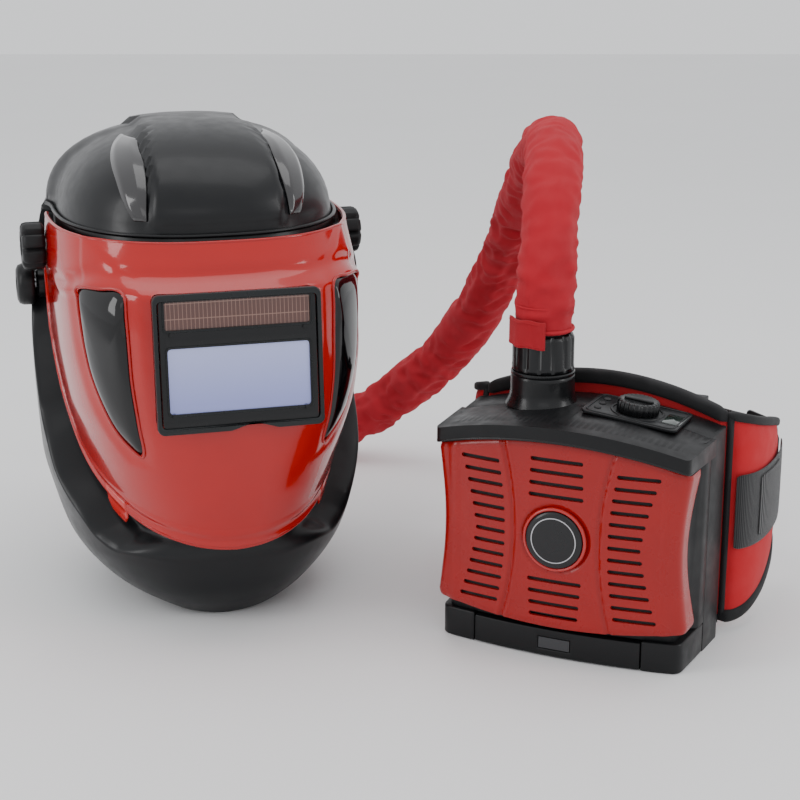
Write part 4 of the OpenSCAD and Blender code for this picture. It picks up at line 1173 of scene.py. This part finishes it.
def build_housing():
    # front half: waisted behind the cover's side flaps, open for the filters
    body = both("front_housing_shell", plan(0, 6.2, -34.4, 9, 5.4), arch_outline(22.6), MAT["black"])
    cut(body, block("tool", (-80, -72, 26), (80, -30, 150), MAT["black"], BLOWER))
    cut(body, block("tool", (-70, -110, 42), (70, -60, 132), MAT["black"], BLOWER))
    cut(body, revolve("tool", [(0.01, 120), (20.2, 120), (20.2, 180), (0.01, 180)], MAT["black"], at(BLOWER,
            -35, -29, 0)))
    bevel(body, 1.2, 2, 50)
    done(body, "respirator", "black_plastic", "front_housing")

    # black brow over the cover, arched like the top
    ledge = both("front_brow", plan(3.2, -5.0, -34.6, 11), arch_outline(0, 0, 8, W / 2 + 4, 10.6),
            MAT["black"])
    cut(ledge, both("tool", plan(-2.5, 8, -20, 6), arch_outline(0, 2.2, 6), MAT["black"]))
    bevel(ledge, 2.8, 4, 45)
    done(ledge, "respirator", "black_plastic")
    under = [(x, y, top_z(x * 0.96) - 9.8) for x, y in plan(2.6, -4.4, -40, 11) if y < -44]
    done(sweep("front_brow_bead", under, lambda i: ring(1.0, 8), MAT["black_gloss"], BLOWER), "respirator",
            "black_plastic")

    rear_plan = [(-half_w(-34) , -34), (half_w(-34), -34)] + corner((half_w(-34), -34), (W / 2, 0), (-W / 2,
            0), 6) + \
        corner((W / 2, 0), (-W / 2, 0), (-half_w(-34), -34), 6)
    rear = both("rear_housing_shell", rear_plan, arch_outline(0.0, 0, 9), MAT["black"])
    cut(rear, block("tool", (-88, -40, 26), (88, -3, 150), MAT["black"], BLOWER))
    cut(rear, revolve("tool", [(0.01, 120), (20.2, 120), (20.2, 180), (0.01, 180)], MAT["black"], at(BLOWER,
            -35, -29, 0)))
    bevel(rear, 1.6, 2, 45)
    done(rear, "respirator", "black_plastic", "rear_housing")

    # base: battery in the middle, fixed corners beside it
    edge = plan(0.2, 3.0, -35, 16)
    for name, x0, x1, z0, z1, body_name, nodes in (
            ("battery_block", -61.7, 61.7, 1.0, 20.8, "battery", ("battery_pack",)),
            ("base_corner_left", -99, -62.2, 0.2, 22.4, "respirator", ()),
            ("base_corner_right", 62.2, 99, 0.2, 22.4, "respirator", ())):
        o = prism(name, unwind(clean(edge)), z0, z1, MAT["black"], BLOWER)
        cut(o, block("tool", (x0, -130, -5), (x1, -34.8, 40), MAT["black"], BLOWER), op="INTERSECT")
        if name == "battery_block":
            cut(o, block("tool", (-12, -96, 6), (12, -81.5, 15), MAT["black"], BLOWER))
        bevel(o, 1.5, 3, 45)
        done(o, body_name, "black_plastic", *nodes)
    finish_node("battery_latch", "inner")


def cover_point(s, t, out=0.0):
    """Point of the cover: s from -1 to 1 round the front, t from foot to top."""
    waist = 5.2 * sin(pi * min(1, max(0, t))) ** 1.1
    fh = FRONT_HALF + 3.8 - waist
    a = abs(s)
    flat = 0.80
    if a <= flat:
        x = (fh - 7) * a / flat
        y = front_y(x)
        n = (0.0, -1.0)
    else:
        k = (a - flat) / (1 - flat)
        x0, y0 = fh - 7, front_y(fh - 7)
        if k < 0.35:
            q = k / 0.35
            x = x0 + 7 * sin(q * pi / 2)
            y = y0 + 7 * (1 - cos(q * pi / 2))
            n = (sin(q * pi / 2), -cos(q * pi / 2))
        else:
            q = (k - 0.35) / 0.65
            reach = 18 - 7.5 * sin(pi * t) ** 1.3
            x = x0 + 7 + 0.6 * q
            y = y0 + 7 + reach * q
            n = (1.0, 0.0)
    x += n[0] * out
    y += n[1] * out
    foot = 24.0 + 7.5 * (min(x, fh) / fh) ** 2
    head = top_z(min(x, 94)) - 11.8
    return math.copysign(x, s), y, mix(foot, head, t)


def build_cover():
    cols, rws = 181, 71
    rows = []
    for j in range(rws):
        t = j / (rws - 1)
        row = []
        for i in range(cols):
            s = -1 + 2 * i / (cols - 1)
            x, _, z = cover_point(s, t)
            zz = (z - 90) / 66
            lift = 0.0
            groove = 31 + 9.5 * zz * zz
            lift -= 1.3 * bump_at(abs(x), groove, 2.4)
            lift += 0.35 * bump_at(abs(x), groove - 3.2, 2.6) + 0.35 * bump_at(abs(x), groove + 3.2, 2.6)
            edge_t = min(t, 1 - t) * 130
            lift -= 1.2 * (1 - smooth(edge_t / 3.2))
            side = (1 - abs(s)) * 110
            lift -= 1.0 * (1 - smooth(side / 3.0))
            crease = 82 - 3 * abs(zz)
            lift += 0.9 * bump_at(abs(x), crease - 4 * (1 - abs(zz)), 6) * smooth((90 - abs(x)) / 4)
            r = math.hypot(x, z - 90)
            lift -= 1.6 * (1 - smooth((r - 24.0) / 2.2))
            row.append(cover_point(s, t, lift))
        rows.append(row)
    o = grid("filter_cover_skin", rows, MAT["red_cover"], BLOWER, thick=2.6, sharp=45)
    verts, faces = [], []

    def add(cx, cz, w):
        h, y0, y1 = 1.5, -112, -74
        ol = rounded(w, 2 * h, h * 0.98, 4, cx, cz)
        base, n = len(verts), len(ol)
        verts.extend([(x, y0, z) for x, z in ol] + [(x, y1, z) for x, z in ol])
        faces.append(tuple(base + i for i in range(n)))
        faces.append(tuple(base + n + i for i in range(n - 1, -1, -1)))
        faces.extend((base + i, base + n + i, base + n + (i + 1) % n, base + (i + 1) % n) for i in range(n))

    for k in range(13):
        w = 23 + 7 * abs(k - 6) / 6
        z = 38 + k * 8.6
        for sx in (-1, 1):
            inner = 35 + 8.5 * ((z - 90) / 66) ** 2 + 2.5
            add(sx * (inner + w / 2), z - 2.5 * (inner / 94) ** 2, w)
    for k in range(4):
        add(0, 121 + k * 8.6, 40 - k * 0.6)
        add(0, 33 + k * 8.6, 36 + k * 1.2)
    tool = fix_normals(make("tool", verts, faces, MAT["red_cover"], BLOWER))
    cut(o, tool)
    done(o, "filter_door", "cover_red", "filter_cover")
    # painted shade: a dark rubber sheet set just behind the cover's slots so that they read dark; it stands for no
    # part of the blower
    dark = []
    for j in range(24):
        t = 0.06 + 0.88 * j / 23
        dark.append([cover_point(-0.74 + 1.48 * i / 40, t, -3.4) for i in range(41)])
    back = grid("filter_cover_shade_sheet", dark, MAT["rubber"], BLOWER, thick=0.8, sharp=60)
    done(back, "filter_door", "seal_rubber")

    m = at(BLOWER, 0, -92.6, 90, 90)
    prof = [(0.01, 0), (20.2, 0), (20.6, 0.5), (20.6, 1.9), (20.0, 2.6), (17, 3.0), (9, 3.3), (0.01, 3.4)]
    done(revolve("badge_disc", prof, MAT["badge"], m, 72, None, 60), "filter_door", "badge_grey", "badge")
    prof = [(21.0, -0.6), (23.2, -0.6), (23.4, 0.6), (22.8, 1.7), (21.8, 2.1), (21.0, 1.5)]
    done(revolve("badge_ring", prof, MAT["badge_ring"], m, 72, None, 60), "filter_door", "cover_red")
    prof = [(15.8, 2.9), (16.5, 2.9), (16.5, 3.35), (15.8, 3.35)]
    done(revolve("badge_line", prof, MAT["steel"], m, 72, None, 60), "filter_door", "badge_grey")
    for name, mat in (("spark_arrestor", "mesh"), ("prefilter", "paper"), ("particle_filter", "paper"),
            ("filter_seal", "rubber"),
                      ("volute", "inner"), ("motor", "motor"), ("impeller", "fan"), ("control_board",
                              "board"), ("housing_screws", "steel")):
        finish_node(name, mat)


def build_top():
    m = at(BLOWER, 37, -32, top_z(37), 0, 6.2)
    panel = prism("control_panel_plate", rounded(69, 47, 5), 0.2, 2.0, MAT["panel"], m)
    cut(panel, prism("tool", rounded(13.6, 21.6, 1.5, 4, 27, 0), 1.0, 4, MAT["panel"], m),
        prism("tool", rounded(8.2, 8.2, 4.09, 8), -2, 5, MAT["panel"], m))
    bevel(panel, 0.6, 2, 45)
    done(panel, "respirator", "inner_plastic", "control_panel")
    rim = [(x, y, 2.0) for x, y in rounded(64, 42, 5)]
    done(sweep("control_panel_rim", rim, lambda i: ring(0.7, 8), MAT["panel"], m, closed=True),
            "respirator", "inner_plastic")
    face = prism("display_glass", rounded(13.2, 21.2, 1.3, 4, 27, 0), 1.1, 2.2, MAT["display"], m, 0.2)
    done(face, "respirator", "display_grey", "display")
    for k, (x, y) in enumerate(((-26, -11), (-26, 0), (-26, 11))):
        done(revolve("panel_button_%d" % k, [(0.01, 1.6), (2.6, 1.6), (2.6, 2.5), (2.1, 2.9), (0.01, 3.0)],
                MAT["rubber"], at_in(m, x, y, 0), 28),
             "respirator", "seal_rubber")
    prof = [(17.2, 1.9), (19.2, 1.9), (18.8, 2.7), (17.4, 2.7)]
    done(revolve("dial_collar", prof, MAT["panel"], m, 64), "respirator", "inner_plastic")

    def ribs(r, a, z):
        return r - (0.9 * (0.5 + 0.5 * cos(24 * a)) if r > 14 else 0)

    prof = [(0.01, 2.3), (14.6, 2.3), (15, 2.8), (15, 9.2), (14.2, 10.4), (12.2, 10.9), (11.2, 10.4), (0.01,
            10.2)]
    dial = revolve("speed_dial_grip", prof, MAT["black_gloss"], m, 192, ribs, 45)
    done(dial, "speed_dial", "black_plastic", "speed_knob")
    done(revolve("speed_dial_stem", [(0.01, 0.5), (3.95, 0.5), (3.95, 2.6), (0.01, 2.6)], MAT["black"], m,
            24), "speed_dial", "black_plastic")
    done(prism("speed_dial_pointer", rounded(21, 4.2, 2), 10.1, 11.6, MAT["black"], m, 0.5), "speed_dial",
            "black_plastic")

    spot = at(BLOWER, -35, -29, 0)
    prof = [(15, 150), (20, 150), (20, 166), (26.2, 166.6), (26.6, 168.2), (25.4, 170.2), (23.8, 173.6),
            (23.05, 178), (23.0, 187.5),
            (23.0, 189.2), (22.5, 190.0), (22.9, 190.8), (22.9, 192.2), (22.2, 193), (19, 193.1), (19,
                    205.4), (18.4, 206), (15, 206)]
    done(revolve("outlet_spigot_neck", prof, MAT["black_gloss"], spot, 96, None, 40), "respirator",
            "black_plastic", "outlet_spigot")


def at_in(m, x, y, z):
    return m @ Matrix.Translation(Vector((x, y, z)) * MM)


# ---- Belt, in the blower's frame ----
LOOP = ((0, 6), (40, 6), (75, 6.5), (91, 8.5), (101, 16), (106.5, 32), (108, 58), (105, 90), (97, 118), (81,
        144), (58, 163),
        (30, 175), (0, 178))
BAND_Z = 69


def loop_curve(i0, i1, side=1):
    """Smooth plan line of the belt with its outward normals, as (x, y, nx, ny, share)."""
    full = [Vector((p[0], p[1], 0)) for p in LOOP]
    mirror = [Vector((-p[0], p[1], 0)) for p in LOOP[:0:-1]]
    pts = cat(mirror + full, 8)
    base = 8 * (len(LOOP) - 1)
    a, b = base + 8 * i0, base + 8 * i1
    out = []
    for k in range(a, b + 1):
        d = (pts[min(k + 1, len(pts) - 1)] - pts[max(k - 1, 0)]).normalized()
        out.append((side * pts[k].x, pts[k].y, side * d.y, -d.x, (k - a) / max(1, b - a)))
    return out


def pillow(name, line, z0, z1, thick, mat, off=0.0, n=28, end=4, square=0.55, lump=0.0, sharp=80, uv=False):
    """Closed soft strip along a plan line; z0, z1 and thick are functions of the share along it."""
    rows = []
    last = len(line) - 1
    for j, (x, y, nx, ny, t) in enumerate(line):
        e = smooth((min(j, last - j) + 0.35) / end)
        lo, hi, th = z0(t), z1(t), thick(t) * (0.35 + 0.65 * e)
        shrink = 1.5 * (1 - e)
        row = []
        for k in range(n):
            a = 2 * pi * k / n
            q = off + th / 2 * spow(cos(a), square)
            z = mix(lo + shrink, hi - shrink, 0.5 + 0.5 * spow(sin(a), 0.62))
            if lump:
                q += lump * noise.noise(Vector((x / 26, y / 26, z / 26))) * abs(cos(a))
            row.append((x + nx * q, y + ny * q, z))
        rows.append(row)
    verts = [p for r in rows for p in r]
    faces = []
    for j in range(last):
        for k in range(n):
            faces.append((j * n + k, j * n + (k + 1) % n, (j + 1) * n + (k + 1) % n, (j + 1) * n + k))
    faces.append(tuple(range(n - 1, -1, -1)))
    faces.append(tuple(last * n + k for k in range(n)))
    uvs = None
    if uv:
        s = [0.0]
        for a, b in zip(line, line[1:]):
            s.append(s[-1] + math.hypot(b[0] - a[0], b[1] - a[1]) * MM)
        uvs = [(s[j], r[2] * MM) for j, row in enumerate(rows) for r in row]
    return fix_normals(make(name, verts, faces, mat, BLOWER, uvs, sharp))


def build_belt():
    top = lambda x: 187 - 20 * (x / 92) ** 2
    left = loop_curve(0, 3, -1)[::-1]
    right = loop_curve(0, 3, 1)
    line = [(x, y, nx, ny, 0) for x, y, nx, ny, _ in left[:-1] + right]
    line = [(x, y, nx, ny, k / (len(line) - 1)) for k, (x, y, nx, ny, _) in enumerate(line)]
    xs = [p[0] for p in line]
    x_at = lambda t: mix(xs[int(t * (len(xs) - 1))], xs[min(len(xs) - 1, int(t * (len(xs) - 1)) + 1)],
            t * (len(xs) - 1) % 1)
    back = pillow("back_pad_cloth", line, lambda t: 9, lambda t: top(x_at(t)) - 5, lambda t: 8.6,
            MAT["pad_back"], lump=0.5, square=0.7)
    done(back, "respirator", "pad_back", "back_pad")
    for tag, lo, hi in (("upper", lambda t: top(x_at(t)) - 10, lambda t: top(x_at(t)) + 0.6), ("lower",
            lambda t: 4.6, lambda t: 14)):
        o = pillow("back_binding_" + tag, line, lo, hi, lambda t: 10.0, MAT["binding"], square=0.6)
        done(o, "respirator", "black_fabric")

    for side, tag in ((-1, "left"), (1, "right")):
        ln = loop_curve(3, 8, side)
        low = lambda t: 8 + 36 * t * t
        high = lambda t: 166 - 35 * t ** 1.6
        swell = lambda t: 8.2 + 2.6 * sin(pi * t)
        pad = pillow("side_pad_%s_cloth" % tag, ln, lambda t: low(t) + 3, lambda t: high(t) - 3, swell,
                MAT["pad_red"], lump=0.9, square=0.62, end=6)
        done(pad, "respirator", "pad_neoprene", "side_pad_" + tag)
        for part, lo, hi in (("lower", lambda t: low(t) - 1.5, lambda t: low(t) + 8.5), ("upper",
                lambda t: high(t) - 5.5, lambda t: high(t) + 1.2)):
            o = pillow("side_binding_%s_%s" % (tag, part), ln, lo, hi, lambda t: 9.6, MAT["binding"],
                    square=0.6)
            done(o, "respirator", "black_fabric")
        # corner seam and the pad's far end
        seam = [(x, y, nx, ny, k / 3) for k, (x, y, nx, ny, _) in enumerate(ln[:4])]
        done(pillow("side_seam_%s" % tag, seam, lambda t: 9, lambda t: 166, lambda t: 10.4, MAT["binding"],
                end=2), "respirator", "black_fabric")
        tip = ln[-6:]
        tip = [(x, y, nx, ny, k / 5) for k, (x, y, nx, ny, _) in enumerate(tip)]
        done(pillow("side_tip_%s" % tag, tip, lambda t: 40, lambda t: 134, lambda t: 9.8, MAT["binding"],
                end=2), "respirator", "black_fabric")
        # ribbed elastic band round the pad, and the webbing that runs on from it
        band = loop_curve(3, 8, side)[4:-2]
        band = [(x, y, nx, ny, k / (len(band) - 1)) for k, (x, y, nx, ny, _) in enumerate(band)]
        o = pillow("elastic_band_" + tag, band, lambda t: BAND_Z - 4, lambda t: BAND_Z + 52, lambda t: 1.6,
                MAT["elastic"], off=7.0, end=2, uv=True)
        done(o, "respirator", "webbing")
        patch = loop_curve(4, 7, side)[6:-4]
        patch = [(x, y, nx, ny, k / (len(patch) - 1)) for k, (x, y, nx, ny, _) in enumerate(patch)]
        o = pillow("webbing_patch_" + tag, patch, lambda t: BAND_Z + 2, lambda t: BAND_Z + 48,
                lambda t: 1.6, MAT["webbing"], off=8.5, end=2, uv=True)
        done(o, "respirator", "webbing")
        far = loop_curve(8, 11 if side > 0 else 10, side)
        o = pillow("waist_strap_" + tag, far, lambda t: BAND_Z, lambda t: BAND_Z + 50, lambda t: 1.8,
                MAT["webbing"], off=6.6, end=2, uv=True)
        done(o, "respirator", "webbing", *(("waist_webbing",) if side > 0 else ()))
        # slide adjuster on the strap
        k = len(far) // 2
        x, y, nx, ny, _ = far[k]
        ang = math.degrees(math.atan2(ny, nx))
        m = at(BLOWER, x, y, BAND_Z + 25, 0, 0, ang) @ Matrix.Rotation(radians(90), 4, "Y")
        ol = rounded(58, 26, 4, 4)
        o = prism("slide_adjuster_" + tag, ol, 7.6, 9.8, MAT["black"], m)
        cut(o, prism("tool", rounded(51, 6, 1.5, 3, 0, 6), 0, 20, MAT["black"], m), prism("tool",
                rounded(51, 6, 1.5, 3, 0, -6), 0, 20, MAT["black"], m))
        bevel(o, 0.6, 2, 45)
        done(o, "respirator", "black_plastic")
    tail = loop_curve(10, 11, -1)
    o = pillow("buckle_tail", tail, lambda t: BAND_Z, lambda t: BAND_Z + 50, lambda t: 1.8, MAT["webbing"],
            off=9.2, end=2, uv=True)
    done(o, "buckle", "webbing")

    y = 181
    sock = block("buckle_socket_body", (-4, y, BAND_Z - 5), (28, y + 11, BAND_Z + 55), MAT["black"], BLOWER)
    cut(sock, block("tool", (-6, y + 3, BAND_Z), (19, y + 8, BAND_Z + 50), MAT["black"], BLOWER))
    cut(sock, block("tool", (2, y + 7, BAND_Z + 16), (14, y + 14, BAND_Z + 34), MAT["black"], BLOWER))
    bevel(sock, 1.1, 3, 45)
    done(sock, "respirator", "black_plastic", "buckle_socket")
    plug = block("buckle_plug_body", (-30, y + 0.5, BAND_Z - 4), (-5, y + 10.5, BAND_Z + 54), MAT["black"],
            BLOWER)
    cut(plug, block("tool", (-24, y - 2, BAND_Z - 1), (-19, y + 12, BAND_Z + 51), MAT["black"], BLOWER))
    bevel(plug, 1.1, 3, 45)
    done(plug, "buckle", "black_plastic", "buckle_plug")
    for k, z in enumerate((BAND_Z + 1, BAND_Z + 21, BAND_Z + 42)):
        prong = prism("buckle_prong_%d" % k, [(-8, y + 3.4), (14, y + 3.4), (16, y + 4.4), (16, y + 6.6),
                (14, y + 7.6), (-8, y + 7.6)],
                      z, z + 7, MAT["black"], BLOWER, 0.7)
        done(prong, "buckle", "black_plastic")


# ---- Studio ----
def build_studio():
    m = Nodes("studio_floor", (0.86, 0.86, 0.86), 0.6)
    m.vary_color(m.noise(3, 2), 0.985, 1.0)
    bpy.ops.mesh.primitive_plane_add(size=9)
    floor = bpy.context.object
    floor.name = "studio_floor"
    floor.data.materials.append(m.mat)
    world = bpy.data.worlds.new("studio")
    world.use_nodes = True
    world.node_tree.nodes["Background"].inputs[0].default_value = (0.93, 0.94, 0.96, 1)
    world.node_tree.nodes["Background"].inputs[1].default_value = 1.1
    bpy.context.scene.world = world

    def lamp(name, loc, aim, size, size_y, power, color=(1, 1, 1)):
        d = bpy.data.lights.new(name, "AREA")
        d.shape = "RECTANGLE"
        d.size, d.size_y, d.energy, d.color = size, size_y, power, color
        o = bpy.data.objects.new(name, d)
        o.location = loc
        o.rotation_euler = (Vector(aim) - Vector(loc)).to_track_quat("-Z", "Y").to_euler()
        bpy.context.scene.collection.objects.link(o)

    lamp("top_box", (0.0, 0.1, 1.9), (0, 0, 0.1), 1.7, 1.1, 9)
    lamp("left_box", (-1.5, -0.7, 0.85), (-0.1, 0, 0.2), 0.5, 1.1, 8)
    lamp("right_box", (1.55, -0.5, 0.9), (0.1, 0, 0.2), 0.45, 1.0, 6)
    lamp("front_fill", (0.1, -2.6, 1.3), (0, 0, 0.15), 1.6, 0.7, 2.5)


build_hose()
build_helmet()
build_visor()
build_side_windows()
build_filter_frame()
build_knobs()
build_inside()
build_housing()
build_cover()
build_top()
build_belt()
build_studio()

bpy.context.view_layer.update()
